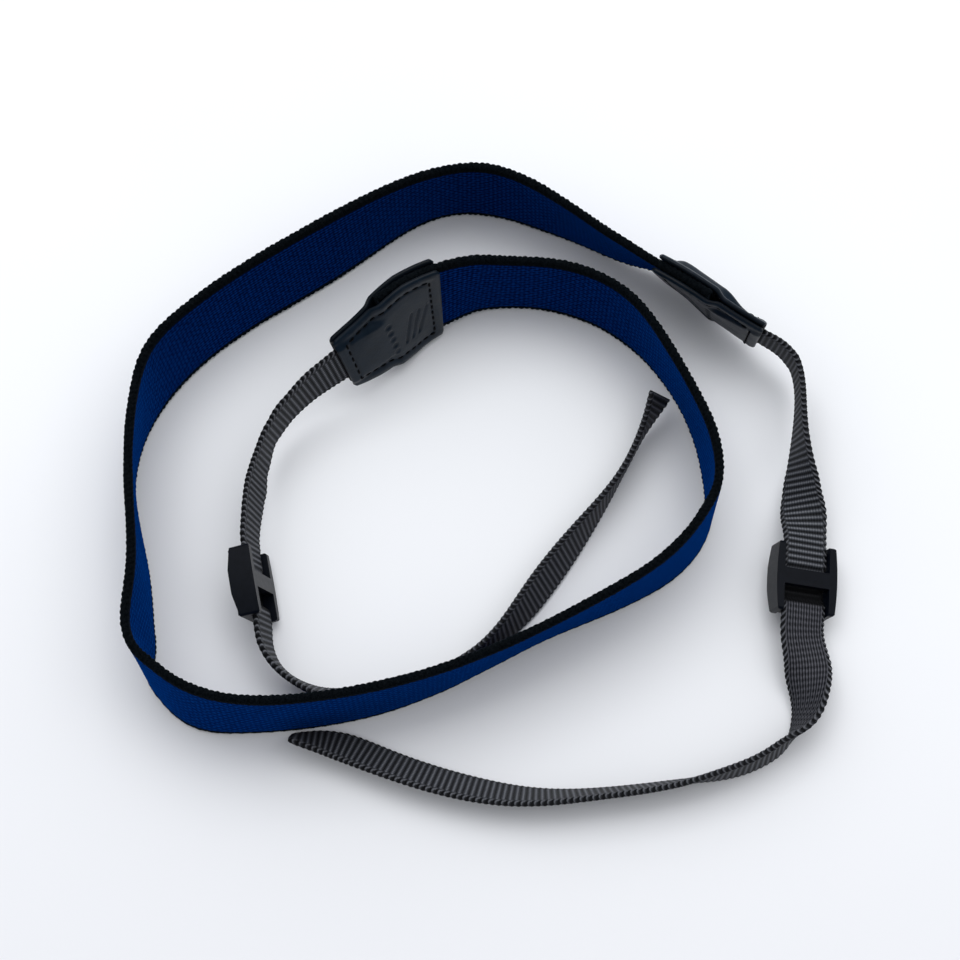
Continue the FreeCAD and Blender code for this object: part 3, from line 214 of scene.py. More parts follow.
12.536 -26.706 4.800 -25.22, 13.709 -25.088 4.789 -25.63, 14.885 -23.473 4.792 -25.48,
16.065 -21.860 4.811 -24.79, 17.248 -20.249 4.841 -23.62, 18.433 -18.641 4.879 -22.03,
19.620 -17.033 4.922 -20.06, 20.806 -15.425 4.963 -17.78, 21.991 -13.816 5.001 -15.27,
23.170 -12.203 5.030 -12.58, 24.340 -10.583 5.049 -9.80, 25.496 -8.952 5.056 -7.02,
26.631 -7.307 5.051 -4.35, 27.737 -5.643 5.037 -1.87, 28.810 -3.957 5.023 0.30,
29.844 -2.247 5.039 2.05, 30.839 -0.514 5.046 3.27, 31.798 1.240 5.047 3.86,
32.724 3.010 5.090 3.80, 33.623 4.787 5.257 3.18, 34.501 6.563 5.519 2.10,
35.375 8.321 5.892 0.51, 36.264 10.045 6.372 -1.89, 37.172 11.731 6.944 -5.49,
38.074 13.395 7.585 -10.41, 38.934 15.061 8.276 -16.37, 39.750 16.739 8.992 -22.84
"""
PATH = np.array([float(x) for x in STATIONS.replace(",", " ").split()]).reshape(-1, 4)
LAST = len(PATH) - 1
END = LAST * STEP

# The two ends of the strap. sign is the way s runs towards the tip; the rest are places along s:
# the patch's wide and mouth ends, the buckle's centre, the bend of the tail and its tip.
End = namedtuple("End", "label sign wide mouth buckle flex tip")
LEFT = End("left", 1, 659.8, 659.8 + PATCH_LENGTH, 744.01, 812.0, END)
RIGHT = End("right", -1, 203.6 + PATCH_LENGTH, 203.6, 144.67, 96.0, 0.0)
FACES = {"front": -1, "back": 1}         # leather name and the sign of h on its side


# ---------------------------------------------------------------- curves and places
def ease(x):
    x = np.clip(x, 0.0, 1.0)
    return x * x * (3 - 2 * x)


def rise(x, start, span):
    """0 before start, 1 after start + span, smooth between"""
    return ease((x - start) / span)


def fall(x, start, span):
    return 1 - rise(x, start, span)


def lerp(a, b, t):
    return a + (b - a) * t


def unit(a):
    return a / np.linalg.norm(a, axis=-1, keepdims=True)


def station(s):
    """centre point and lean in radians at s, by Catmull-Rom interpolation of PATH"""
    x = np.clip(np.asarray(s, float) / STEP, 0, float(LAST))
    i = np.minimum(x.astype(int), LAST - 1)
    t = (x - i)[..., None]
    p0, p1, p2, p3 = (PATH[np.clip(i + k, 0, LAST)] for k in (-1, 0, 1, 2))
    p = 0.5 * (2 * p1 + (p2 - p0) * t + (2 * p0 - 5 * p1 + 4 * p2 - p3) * t ** 2
               + (3 * p1 - p0 - 3 * p2 + p3) * t ** 3)
    return p[..., :3] - ORIGIN, np.radians(p[..., 3])


def axes(s):
    """centre point, direction of v and direction of h at s"""
    s = np.asarray(s, float)
    centre, lean = station(s)
    ahead, behind = np.minimum(END, s + 1.0), np.maximum(0.0, s - 1.0)
    along = unit(station(ahead)[0] - station(behind)[0])
    level = unit(np.stack([along[..., 1], -along[..., 0], np.zeros_like(along[..., 0])], -1))
    up = np.cross(level, along)
    up = np.where(up[..., 2:3] < 0, -up, up)
    across = up * np.cos(lean)[..., None] + level * np.sin(lean)[..., None]
    return centre, across, np.cross(along, across)


def at(s, v, h):
    centre, across, normal = axes(s)
    v, h = np.asarray(v, float), np.asarray(h, float)
    return centre + across * v[..., None] + normal * h[..., None]


def centre_point(s):
    """a point of the centre line, in metres"""
    return tuple(float(x) * MM for x in at(s, 0.0, 0.0))


# ---------------------------------------------------------------- meshes
def mesh(name, verts, faces, place=None):
    """verts in millimetres; place is a vector per vertex that the materials read"""
    data = bpy.data.meshes.new(name)
    data.from_pydata((verts * MM).tolist(), [], faces)
    data.polygons.foreach_set("use_smooth", [True] * len(data.polygons))
    if place is not None:
        layer = data.attributes.new("place", "FLOAT_VECTOR", "POINT")
        layer.data.foreach_set("vector", np.asarray(place, np.float32).ravel())
    data.update()
    data.validate()
    ob = bpy.data.objects.new(name, data)
    bpy.context.scene.collection.objects.link(ob)
    return ob


def inside_out(verts, quads):
    """whether the quads enclose a negative volume, judged on a sample of them"""
    sample = quads[::max(1, len(quads) // 60000)]
    a, b, c, d = np.moveaxis(verts[sample] - verts.mean(0), 1, 0)
    return np.sum(a * np.cross(b, c)) + np.sum(a * np.cross(c, d)) < 0


def grid_quads(index):
    corners = [index[:-1, :-1], index[1:, :-1], index[1:, 1:], index[:-1, 1:]]
    return np.stack(corners, -1).reshape(-1, 4)


def tube_quads(rings, around):
    index = np.arange(rings * around).reshape(rings, around)
    after = np.roll(index, -1, axis=1)
    return np.stack([index[:-1], after[:-1], after[1:], index[1:]], -1).reshape(-1, 4)


def loft(name, s, v, h, third):
    """a closed tube along s, kept above the table; its place is (s, v, third)"""
    points = at(s, v, h)
    points[..., 2] = np.maximum(points[..., 2], 0.0)
    rings, around = points.shape[:2]
    verts = points.reshape(-1, 3)
    place = np.stack(np.broadcast_arrays(s, v, third), -1).reshape(-1, 3)
    quads = tube_quads(rings, around)
    flipped = inside_out(verts, quads)
    faces = (quads[:, ::-1] if flipped else quads).tolist()
    for base, is_last in ((0, False), ((rings - 1) * around, True)):
        centre = len(verts)
        verts = np.vstack([verts, verts[base:base + around].mean(0)])
        place = np.vstack([place, place[base:base + around].mean(0)])
        for k in range(around):
            a, b = base + k, base + (k + 1) % around
            faces.append([a, b, centre] if is_last == flipped else [b, a, centre])
    return mesh(name, verts, faces, place)


def section(flat, face_points, edge_points):
    """Outline of a cloth strip with flat faces out to v = +-flat and round edges.

    Per point: v before the edge bulges, turn angle, face sign (+1 on the +h face, -1 on the -h
    face, 0 on an edge) and edge sign (+1 on the +v edge, -1 on the -v edge, 0 on a face).
    """
    across = np.linspace(-flat, flat, face_points)
    bend = np.linspace(0, math.pi, edge_points)[1:-1]
    v = np.concatenate([across, flat + 0 * bend, across[::-1], -flat + 0 * bend])
    turn = np.concatenate([0 * across, bend, 0 * across + math.pi, math.pi + bend])
    counts = [face_points, len(bend)] * 2
    return v, turn, np.repeat([1, 0, -1, 0], counts), np.repeat([0, 1, 0, -1], counts)


def strands(turns, middle):
    """profile of strands lying side by side, one per turn"""
    return np.abs(np.sin(math.pi * turns)) ** 0.8 - middle


# ---------------------------------------------------------------- neck band
def neck_band():
    """plain-woven faces with corded edges"""
    start, stop = RIGHT.wide - BAND_IN_PATCH, LEFT.wide + BAND_IN_PATCH
    s = np.linspace(start, stop, int((stop - start) / 0.26))[:, None]
    radius = BAND_THICK / 2
    flat = BAND_WIDTH / 2 - radius
    v, turn, face, edge_sign = section(flat, face_points=70, edge_points=13)
    edge = np.where(face == 0, 1.0, rise(np.abs(v), start=10.1, span=0.8))
    weave = (0.060 * np.cos(math.pi * s / BAND_COLUMN) * np.cos(math.pi * v / BAND_ROW)
             + 0.012 * np.cos(2 * math.pi * v / BAND_ROW))
    # strands twisted round each edge, and a chain of beads beside them on each face
    around = turn / math.pi + 0.55 * (np.abs(v) - flat) / 1.2 * face
    cord = (0.30 * strands(s / 1.24 + 0.8 * around, 0.64)
            + 0.05 * np.cos(2 * math.pi * (s / 2.9 + around)))
    beads = 0.11 * np.cos(math.pi * (np.abs(v) - 10.9) / 0.55) * np.cos(math.pi * s / 0.62)
    border = np.where(face != 0, beads * 0.8 + cord * 0.4, cord)
    relief = weave * (1 - edge) + edge * border - 0.03
    unevenness = 0.03 * np.sin(s * 0.37 + 1.3 * np.cos(s * 0.11)) * edge
    reach = radius + relief + unevenness
    h = reach * np.cos(turn)
    return loft("neck_band", s, v + reach * np.abs(np.sin(turn)) * edge_sign, h, h)


# ---------------------------------------------------------------- shape of the patches
# d is the distance from a patch's wide end towards its mouth
TAPER_START = 8.5


def half_height(d):
    """half the width of the leather, tapering to the mouth, with rounded corners"""
    x = np.clip((d - TAPER_START) / (PATCH_LENGTH - TAPER_START), 0.0, 1.0)
    half = PATCH_HALF_WIDE - (PATCH_HALF_WIDE - PATCH_HALF_MOUTH) * (0.7 * x + 0.3 * ease(x))
    half = half - 1.1 * fall(d, start=0.0, span=1.1) ** 2
    return half - 0.7 * rise(d, start=PATCH_LENGTH - 0.9, span=0.9) ** 2


def root_mid(d):
    """h of the webbing's middle: behind the band at first, then on the centre line"""
    return (BAND_THICK / 2 + FIT + WEB_THICK / 2) * fall(d, start=14.6, span=8.6)


def leather_inner(d, v, facing):
    """h of a leather's inner boundary; past the band the two close above and below the webbing"""
    gap = lerp(BAND_THICK / 2 + FIT_LEATHER, WEB_THICK / 2 + FIT, rise(d, start=14.3, span=7.5))
    pinch = rise(d, start=14.1, span=2.9) * rise(np.abs(v), start=5.4, span=1.8)
    gap = lerp(gap, PINCH_GAP, pinch)
    if facing < 0:
        return -gap
    # the back leather also bulges over the webbing behind the band
    over_webbing = root_mid(d) + WEB_THICK / 2 + FIT
    flank = 3.0 - 0.7 * rise(d, start=14.0, span=4.0)
    return gap + (np.maximum(0.0, over_webbing - gap) * rise(d, start=1.2, span=3.6)
                  * fall(np.abs(v), start=5.6, span=flank))


# ---------------------------------------------------------------- narrow webbing
# h, reversed, of the webbing's middle where it passes over and under the bars of a buckle
WAVE_OVER, WAVE_UNDER = 0.55, -0.80
WAVE_REACH = 14.5
# the -h face has a finer weave from here to FINE_STOP, on the right end only
FINE_START, FINE_STOP = 102.0, RIGHT.buckle - 4.5


def buckle_wave(x):
    """x is the distance from the buckle's centre, positive towards the mouth"""
    tail = lerp(WAVE_UNDER, WAVE_OVER, rise(-x, start=3.5, span=2.2)) * fall(-x, 7.6, 6.0)
    mouth = lerp(WAVE_UNDER, WAVE_OVER, rise(x, start=1.3, span=2.4)) * fall(x, 7.6, 6.0)
    return np.where(x < 0, tail, mouth)


def web_offset(s, end):
    """h of the webbing's middle"""
    d = (s - end.wide) * end.sign
    x = (end.buckle - s) * end.sign
    return (np.where(d < PATCH_LENGTH, root_mid(d), 0.0)
            - np.where(np.abs(x) < WAVE_REACH, buckle_wave(x), 0.0))


def webbing(name, start, stop, end):
    """crosswise ribs crossed by lengthwise yarns, with corded edges"""
    low, high = sorted((start, stop))
    step = WEB_RIB / 8
    steps = np.arange(math.ceil(low / step + 0.3), math.floor(high / step - 0.3) + 1)
    s = np.concatenate([[low], steps * step, [high]])[:, None]
    radius, flat = WEB_THICK / 2 - 0.055, WEB_WIDTH / 2 - WEB_THICK / 2 - 0.02
    v, turn, face, edge_sign = section(flat, face_points=44, edge_points=10)
    edge = np.where(face != 0, rise(np.abs(v), start=3.75, span=0.5), 1.0)
    column = v / WEB_YARN
    crest = np.abs(np.cos(math.pi * s / WEB_RIB))
    ribs = 0.20 * (crest ** 0.6 - 0.62) + 0.030 * np.cos(2 * math.pi * column) * crest
    # the finer face: columns of short dashes, every other column shifted by half a dash
    odd = np.floor(column) % 2
    dashes = (0.12 * (np.abs(np.sin(math.pi * column)) - 0.6)
              + 0.055 * np.cos(2 * math.pi * (s / WEB_RIB + 0.5 * odd)))
    fine = 0.0
    if end.sign < 0:
        fine = fall(s, FINE_STOP, span=2.0) * rise(s, FINE_START, span=7.0) * (face < 0)
    body = ribs * (1 - fine) + dashes * fine
    cord = 0.32 * strands(s / WEB_RIB + 0.75 * (turn / math.pi), 0.62)
    beads = 0.20 * strands(s / WEB_RIB + 0.9 * (np.abs(v) - 3.9), 0.64)
    reach = radius + body * (1 - edge) + edge * np.where(face != 0, beads, cord)
    # the sealed tip is pressed thinner
    h = reach * np.cos(turn) * (1 - 0.35 * fall(np.abs(s - end.tip), start=0.0, span=1.3))
    v = v + reach * np.abs(np.sin(turn)) * edge_sign
    # webbing_material() reads the third value: about 9 on the finer weave, 1 or -1 elsewhere
    return loft(name, s, v, h + web_offset(s, end), np.where(face < 0, -1.0, 1.0) + 10 * fine)


# ---------------------------------------------------------------- leather patches
# distances in from the rim at which the leather has rows of points
RIM_STEPS = np.array([
    0.0, 0.02, 0.07, 0.15, 0.26, 0.40, 0.55, 0.75, 1.0, 1.3, 1.6,
    1.85, 2.1, 2.3, 2.5, 2.7, 2.9, 3.1, 3.3, 3.6, 4.0])
RIM = RIM_STEPS[-1]


def rounded_bar(x, y, half_x, half_y, radius):
    """signed distance to a rounded bar centred on 0, 0"""
    a = np.abs(x) - half_x + radius
    b = np.abs(y) - half_y + radius
    return np.hypot(np.maximum(a, 0), np.maximum(b, 0)) + np.minimum(np.maximum(a, b), 0) - radius


def pressed_mark(d, v):
    """three slanted bars and a row of five dots, 1 where pressed deepest"""
    depth = np.zeros_like(d)
    for i in range(3):
        x = d - (5.6 + i * 2.15)
        y = v + 1.6 + 0.42 * x
        bar = rounded_bar(x + 0.45 * y, y, half_x=0.42, half_y=3.6, radius=0.4)
        depth = np.maximum(depth, fall(bar, start=-0.12, span=0.3))
    for i in range(5):
        away = np.hypot(d - 14.6, v + 5.6 - i * 2.3)
        depth = np.maximum(depth, 0.8 * fall(away, start=0.55, span=0.3))
    return depth


def leather_surfaces(d, v, marked):
    """outer and inner surface, as heights above the leather's inner boundary"""
    to_side = np.maximum(1e-4, half_height(d) - np.abs(v))
    to_wide, to_mouth = np.maximum(1e-4, d), np.maximum(1e-4, PATCH_LENGTH - d)
    rim = (to_side ** -4 + to_wide ** -4 + to_mouth ** -4) ** -0.25
    rim_radius, half = 0.62, LEATHER_THICK / 2
    dome = np.sqrt(np.maximum(0, 1 - (1 - np.minimum(rim / rim_radius, 1)) ** 2))
    groove = 0.20 * np.exp(-((rim - STITCH_INSET) / 0.38) ** 2)
    roll = 0.15 * np.exp(-((rim - 1.30) / 0.62) ** 2)
    puff = 0.13 * rise(rim, start=3.0, span=2.5)
    uneven = 0.025 * np.sin(d * 0.9 + v * 0.35) * np.sin(v * 0.6 - d * 0.3)
    outer = half + half * dome + roll + puff - groove + uneven * ease(rim / 2)
    if marked:
        outer = outer - 0.30 * pressed_mark(d, v) * rise(rim, start=3.0, span=0.5)
    return outer, half - half * dome


def patch_grid():
    inside = np.linspace(RIM, PATCH_LENGTH - RIM, 66)[1:-1]
    d = np.concatenate([RIM_STEPS, inside, PATCH_LENGTH - RIM_STEPS[::-1]])[:, None]
    half = half_height(d)
    middle = np.linspace(-1, 1, 60)[1:-1] * (half - RIM)
    v = np.concatenate([-half + RIM_STEPS, middle, half - RIM_STEPS[::-1]], 1)
    return np.broadcast_to(d, v.shape), v


def leather(end, face):
    """outer and inner skins that share the points of their border"""
    facing = FACES[face]
    d, v = patch_grid()
    outer, inner = leather_surfaces(d, v, marked=face == "front")
    floor_h = leather_inner(d, v, facing)
    s = end.wide + end.sign * d
    interior = np.zeros(d.shape, bool)
    interior[1:-1, 1:-1] = True
    outer_index = np.arange(d.size).reshape(d.shape)
    inner_index = outer_index.copy()
    inner_index[interior] = d.size + np.arange(interior.sum())
    verts = np.vstack([at(s, v, floor_h + facing * outer).reshape(-1, 3),
                       at(s, v, floor_h + facing * inner)[interior]])
    verts[:, 2] = np.maximum(verts[:, 2], 0.0)
    place = np.vstack([np.stack([s, v, outer], -1).reshape(-1, 3),
                       np.stack([s, v, inner], -1)[interior]])
    quads = np.vstack([grid_quads(outer_index), grid_quads(inner_index)[:, ::-1]])
    if inside_out(verts, quads):
        quads = quads[:, ::-1]
    return mesh(end.label + "_leather_" + face, verts, quads.tolist(), place)


def stitch_path():
    """closed loop of (d, v) a stitch inset inside the rim, and the length along it"""
    start, stop = STITCH_INSET, PATCH_LENGTH - STITCH_INSET + 0.3
    d = np.linspace(start, stop, 120)
    top = np.stack([d, half_height(d) - STITCH_INSET], 1)
    down = np.linspace(top[-1, 1], -top[-1, 1], 50)[1:]
    up = np.linspace(-top[0, 1], top[0, 1], 80)[1:]
    loop = np.vstack([top, np.stack([0 * down + stop, down], 1),
                      (top * [1, -1])[::-1][1:], np.stack([0 * up + start, up], 1)])
    steps = np.linalg.norm(np.diff(loop, axis=0), axis=1)
    return loop, np.concatenate([[0], np.cumsum(steps)])


def threads(end):
    """lock stitches round the patch on both leathers, and a crossed box of thread under them"""
    around = 8
    phase = np.linspace(0, 2 * math.pi, around, endpoint=False)
    verts, faces, place = [], [], []

    def strand(d, v, h, radius, facing):
        s = end.wide + end.sign * d
        centre = at(s, v, h)
        along = unit(np.gradient(centre, axis=0))
        sideways = unit(np.cross(axes(s)[2] * facing, along))
        away = np.cross(along, sideways)
        circle = (sideways[:, None] * np.cos(phase)[None, :, None]
                  + away[:, None] * np.sin(phase)[None, :, None])
        first = sum(map(len, verts))
        last = first + (len(d) - 1) * around
        verts.append((centre[:, None] + radius[:, None, None] * circle).reshape(-1, 3))
        place.append(np.stack([np.repeat(s, around), np.repeat(v, around),
                               np.tile(phase, len(d))], 1))
        faces.extend((tube_quads(len(d), around) + first).tolist())
        faces.append(list(range(first, first + around))[::-1])
        faces.append(list(range(last, last + around)))

    loop, lengths = stitch_path()
    count = int(lengths[-1] / STITCH_PITCH)
    offset = np.linspace(-STITCH_LENGTH / 2, STITCH_LENGTH / 2, 7)
    from_middle = np.abs(offset / (STITCH_LENGTH / 2))
    for facing in FACES.values():
        for k in range(count):
            x = ((k + 0.5) * lengths[-1] / count + offset) % lengths[-1]
            d = np.interp(x, lengths, loop[:, 0])
            v = np.interp(x, lengths, loop[:, 1])
            outer, _ = leather_surfaces(d, v, marked=False)
            lift = outer + 0.05 - 0.34 * from_middle ** 3
            twist = 1 + 0.08 * np.sin(offset * 9 + k)
            radius = STITCH_RADIUS * (1 - 0.25 * from_middle ** 4) * twist
            strand(d, v, leather_inner(d, v, facing) + facing * lift, radius, facing)

    near, far, half = 6.8, 12.8, 3.6
    a, b, c, d = (near, -half), (near, half), (far, half), (far, -half)
    t = np.linspace(0, 1, 12)
    h = np.full(12, BAND_THICK / 2 + FIT + WEB_THICK + 0.01 - BOX_THREAD_RADIUS)
    for p, q in ((a, b), (b, c), (c, d), (d, a), (a, c), (b, d)):
        strand(p[0] * (1 - t) + q[0] * t, p[1] * (1 - t) + q[1] * t, h,
               radius=np.full(12, BOX_THREAD_RADIUS), facing=1)
    return mesh(end.label + "_threads", np.vstack(verts), faces, np.vstack(place))


# ---------------------------------------------------------------- shader nodes
class Signal:
    """an output of a shader node; arithmetic on it adds math nodes"""

    def __init__(self, tree, socket):
        self.tree, self.socket = tree, socket

    def math(self, operation, first, second=0.0):
        return add_node(self.tree, "Math", {0: first, 1: second}, operation=operation)

    def __add__(self, other):
        return self.math("ADD", self, other)

    def __sub__(self, other):
        return self.math("SUBTRACT", self, other)

    def __rsub__(self, other):
        return self.math("SUBTRACT", other, self)

    def __mul__(self, other):
        return self.math("MULTIPLY", self, other)

    def __truediv__(self, other):
        return self.math("DIVIDE", self, other)

    def __abs__(self):
        return self.math("ABSOLUTE", self)

    def maximum(self, other):
        return self.math("MAXIMUM", self, other)

    def clamped(self):
        """limit this math node's own result to 0..1"""
        self.socket.node.use_clamp = True
        return self

    def cycle(self, period, phase=0.0):
        """0..1 cosine with the period in this value's unit"""
        angle = self * (2 * math.pi / period) + phase
        return self.math("COSINE", angle) * 0.5 + 0.5

    def split(self):
        outputs = add_node(self.tree, "SeparateXYZ", {0: self}).socket.node.outputs
        return [Signal(self.tree, outputs[i]) for i in range(3)]

    def noise(self, scale, detail=3.0, roughness=0.55):
        return add_node(self.tree, "TexNoise", {
            "Vector": self, "Scale": scale, "Detail": detail, "Roughness": roughness})

    def ramp(self, *stops):
        """colour ramp through (position, colour) stops"""
        colours = add_node(self.tree, "ValToRGB", {0: self})
        elements = colours.socket.node.color_ramp.elements
        while len(elements) < len(stops):
            elements.new(0.5)
        for element, (position, colour) in zip(elements, stops):
            element.position, element.color = position, (*colour, 1.0)
        return colours

    def mix(self, low, high):
        """low where this value is 0, high where it is 1"""
        return add_node(self.tree, "Mix", {0: self, 6: low, 7: high}, out=2, data_type="RGBA")

    def bump(self, strength, distance):
        return add_node(self.tree, "Bump", {
            "Strength": strength, "Distance": distance, "Height": self})


def set_input(tree, socket, value):
    """link a Signal, or set a number or an RGB colour"""
    if isinstance(value, Signal):
        tree.links.new(value.socket, socket)
    else:
        socket.default_value = (*value, 1.0) if isinstance(value, tuple) else value


def add_node(tree, kind, inputs=None, out=0, **settings):
    node = tree.nodes.new("ShaderNode" + kind)
    for key, value in settings.items():
        setattr(node, key, value)
    for key, value in (inputs or {}).items():
        set_input(tree, node.inputs[key], value)
    return Signal(tree, node.outputs[out])


def combine(x, y, z):
    return add_node(x.tree, "CombineXYZ", {0: x, 1: y, 2: z})


def new_material(name, roughness):
    mat = bpy.data.materials.new(name)
    mat.use_nodes = True
    paint(mat, {"Roughness": roughness})
    return mat


def paint(mat, inputs):
    for key, value in inputs.items():
        set_input(mat.node_tree, mat.node_tree.nodes["Principled BSDF"].inputs[key], value)
    return mat


def cloth_place(mat):
    """the place attribute, whole and as its three parts"""
    place = add_node(mat.node_tree, "Attribute", out="Vector", attribute_name="place")
    return place, *place.split()


# ---------------------------------------------------------------- materials
# bump distances are metres; noise on place has its scale per millimetre
def band_material():
    mat = new_material("blue_woven_band", roughness=0.75)
    place, s, v, h = cloth_place(mat)
    wandering_s = s + (place.noise(scale=1.6, detail=2.0) - 0.5) * 0.35
    rows, columns = v.cycle(BAND_ROW), wandering_s.cycle(BAND_COLUMN)
    fibres = combine(s * 0.55, v * 3.2, h).noise(scale=2.4, detail=4.0, roughness=0.65)
    mottle = combine(s * 0.7, v, h).noise(scale=1.15, detail=4.0, roughness=0.75) - 0.5
    # the factors are each pattern's share of the brightness
    weave = rows * 0.40 + columns * 0.20 + (fibres * 2.0 - 0.5) * 0.46 + mottle * 0.85
    blue = weave.ramp(
        (0.24, (0.0, 0.0009, 0.0105)), (0.52, (0.0001, 0.0060, 0.0540)),
        (0.84, (0.0016, 0.0340, 0.1950)))
    black = place.noise(scale=3.0).ramp(
        (0.3, (0.0005, 0.0010, 0.0015)), (0.8, (0.0060, 0.0075, 0.0092)))
    # black cords start 10.55 from the middle, give or take a wobble
    wobble = (place.noise(scale=0.9, detail=2.0) - 0.5) * 0.35
    edge = ((abs(v) + wobble - 10.55) / 0.22).clamped()
    # the ends are black from 5 inside the leather
    inside = (RIGHT.wide - 5.0 - s).maximum(s - (LEFT.wide + 5.0))
    edge = edge.maximum((inside * 0.5).clamped())
    relief = weave * 0.6 + place.noise(scale=5.5, detail=4.0, roughness=0.7) * 0.6
    return paint(mat, {
        "Base Color": edge.mix(blue, black),
        "Sheen Weight": 0.30,
        "Sheen Roughness": 0.35,
        "Sheen Tint": edge.mix((0.003, 0.17, 0.85), (0.08, 0.11, 0.14)),
        "Specular IOR Level": 0.0,
        "Normal": relief.bump(strength=0.75, distance=0.00012),
    })


def slot_shade(s, end):
    """1 where the webbing lies deep in a buckle's slot on the tail side of its centre"""
    to_slot, half, fade = 3.3, 1.7, 0.8
    away = abs(s - (end.buckle + end.sign * to_slot))
    return ((half + fade - away) / fade).clamped()


def webbing_material():
    mat = new_material("grey_ribbed_webbing", roughness=0.62)
    place, s, v, weave_kind = cloth_place(mat)
    finer = (weave_kind * 0.11).clamped()
    streak = combine(s * 0.8, v * 3.6, 0.0).noise(scale=1.9, detail=4.0, roughness=0.7)
    speck = place.noise(scale=4.5, roughness=0.7)
    # the factors are each pattern's share of the brightness; the rib and yarn cycles make the
    # crests lighter and the grooves darker, painted highlight and painted shade on top of the
    # yarn's own streaks and specks
    ribbed = s.cycle(WEB_RIB) * 0.46 + v.cycle(WEB_YARN) * 0.12 + streak * 0.30 + speck * 0.20
    ribbed_colour = ribbed.ramp(
        (0.26, (0.0018, 0.0022, 0.0032)), (0.42, (0.0170, 0.0185, 0.0225)),
        (0.64, (0.0420, 0.0460, 0.0550)), (0.90, (0.185, 0.192, 0.212)))
    dashed = (s.cycle(WEB_RIB) * 0.16 + v.cycle(WEB_YARN, phase=math.pi) * 0.40
              + streak * 0.36 + speck * 0.16)
    dashed_colour = dashed.ramp(
        (0.26, (0.0020, 0.0024, 0.0036)), (0.52, (0.0190, 0.0202, 0.0265)),
        (0.90, (0.105, 0.107, 0.122)))
    body = finer.mix(ribbed_colour, dashed_colour)
    # twisted strands from 3.95 outwards, each strand lighter along its crest and darker between
    # strands: painted highlight and painted shade
    off_middle = abs(v)
    edge = ((off_middle - 3.95) / 0.35).clamped() * 0.85
    twist = (s + off_middle * 1.1).cycle(WEB_RIB)
    edge_colour = (twist * 0.7 + speck * 0.3).ramp(
        (0.25, (0.0015, 0.0018, 0.0026)), (0.55, (0.0100, 0.0112, 0.0145)),
        (0.86, (0.1050, 0.1090, 0.1220)))
    cloth = edge.mix(body, edge_colour)
    # hardly any light reaches the webbing in the slots
    deep = slot_shade(s, RIGHT).maximum(slot_shade(s, LEFT))
    return paint(mat, {
        "Base Color": (deep * 0.94).mix(cloth, (0.0010, 0.0012, 0.0018)),
        "Specular IOR Level": 0.12,
        "Sheen Weight": 0.02,
        "Normal": (ribbed * 0.5 + speck * 0.6).bump(strength=0.7, distance=0.00010),
    })


def leather_material():
    mat = new_material("charcoal_leather", roughness=0.42)
    place, _, _, height = cloth_place(mat)
    cells = add_node(mat.node_tree, "TexVoronoi", {"Vector": place, "Scale": 2.6},
                     feature="DISTANCE_TO_EDGE")
    grain = (cells * 1.6).clamped()
    blotches = place.noise(scale=0.35, roughness=0.6)
    colour = blotches.ramp(
        (0.30, (0.0030, 0.0085, 0.0160)), (0.75, (0.0062, 0.0145, 0.0265)))
    # darker where the surface dips: the rim, the pressed mark and the inner face
    low = ((0.92 - height) / 0.4).clamped()
    relief = grain * 0.30 + place.noise(scale=1.4, detail=5.0, roughness=0.62) * 0.9
    return paint(mat, {
        "Base Color": (low * 0.65).mix(colour, (0.0016, 0.0020, 0.0030)),
        "Roughness": blotches * 0.22 + 0.30,
        "Specular IOR Level": 0.20,
        "Normal": relief.bump(strength=0.35, distance=0.00012),
    })


def thread_material():
    mat = new_material("black_thread", roughness=0.7)
    _, s, v, phase = cloth_place(mat)
    twist = (s + v + phase * 0.12).cycle(period=0.34)
    return paint(mat, {
        "Base Color": twist.ramp(
            (0.0, (0.0006, 0.0008, 0.0012)), (1.0, (0.0020, 0.0024, 0.0034))),
        "Specular IOR Level": 0.10,
        "Normal": twist.bump(strength=0.6, distance=0.00008),
    })


def plastic_material():
    mat = new_material("satin_black_plastic", roughness=0.36)
    where = add_node(mat.node_tree, "TexCoord", out="Object")
    clouds = where.noise(scale=900.0, roughness=0.6)
    pores = where.noise(scale=7000.0, detail=2.0, roughness=0.6)
    return paint(mat, {
        "Base Color": clouds.ramp(
            (0.3, (0.0010, 0.0022, 0.0052)), (0.7, (0.0018, 0.0034, 0.0078))),
        "Roughness": clouds * 0.16 + 0.30,
        "Specular IOR Level": 0.20,
        "Normal": pores.bump(strength=0.25, distance=0.00004),
    })


def table_material():
    mat = new_material("pale_table", roughness=0.55)
    where = add_node(mat.node_tree, "TexCoord", out="Object")
    clouds = where.noise(scale=6.0, roughness=0.5)
    # painted shade: a little greyer towards -y, where less light falls, from y = 0.02 m over 0.16
    # m
    near = ((0.02 - where.split()[1]) / 0.16).clamped()
    pale = clouds.ramp((0.3, (0.805, 0.818, 0.840)), (0.7, (0.838, 0.850, 0.868)))
    return paint(mat, {
        "Base Color": near.mix(pale, (0.735, 0.742, 0.768)),
        "Roughness": clouds * 0.1 + 0.5,
        "Specular IOR Level": 0.15,
    })


BAND, WEB, LEATHER = band_material(), webbing_material(), leather_material()
THREAD, PLASTIC, TABLE = thread_material(), plastic_material(), table_material()


# ---------------------------------------------------------------- the pieces
def dress(ob, mat):
    ob.data.materials.clear()
    ob.data.materials.append(mat)
    return ob


def rib_groove(s):
    """a groove between two ribs near s, where two lengths of webbing meet out of sight"""
    return (math.floor(s / WEB_RIB) + 0.5) * WEB_RIB


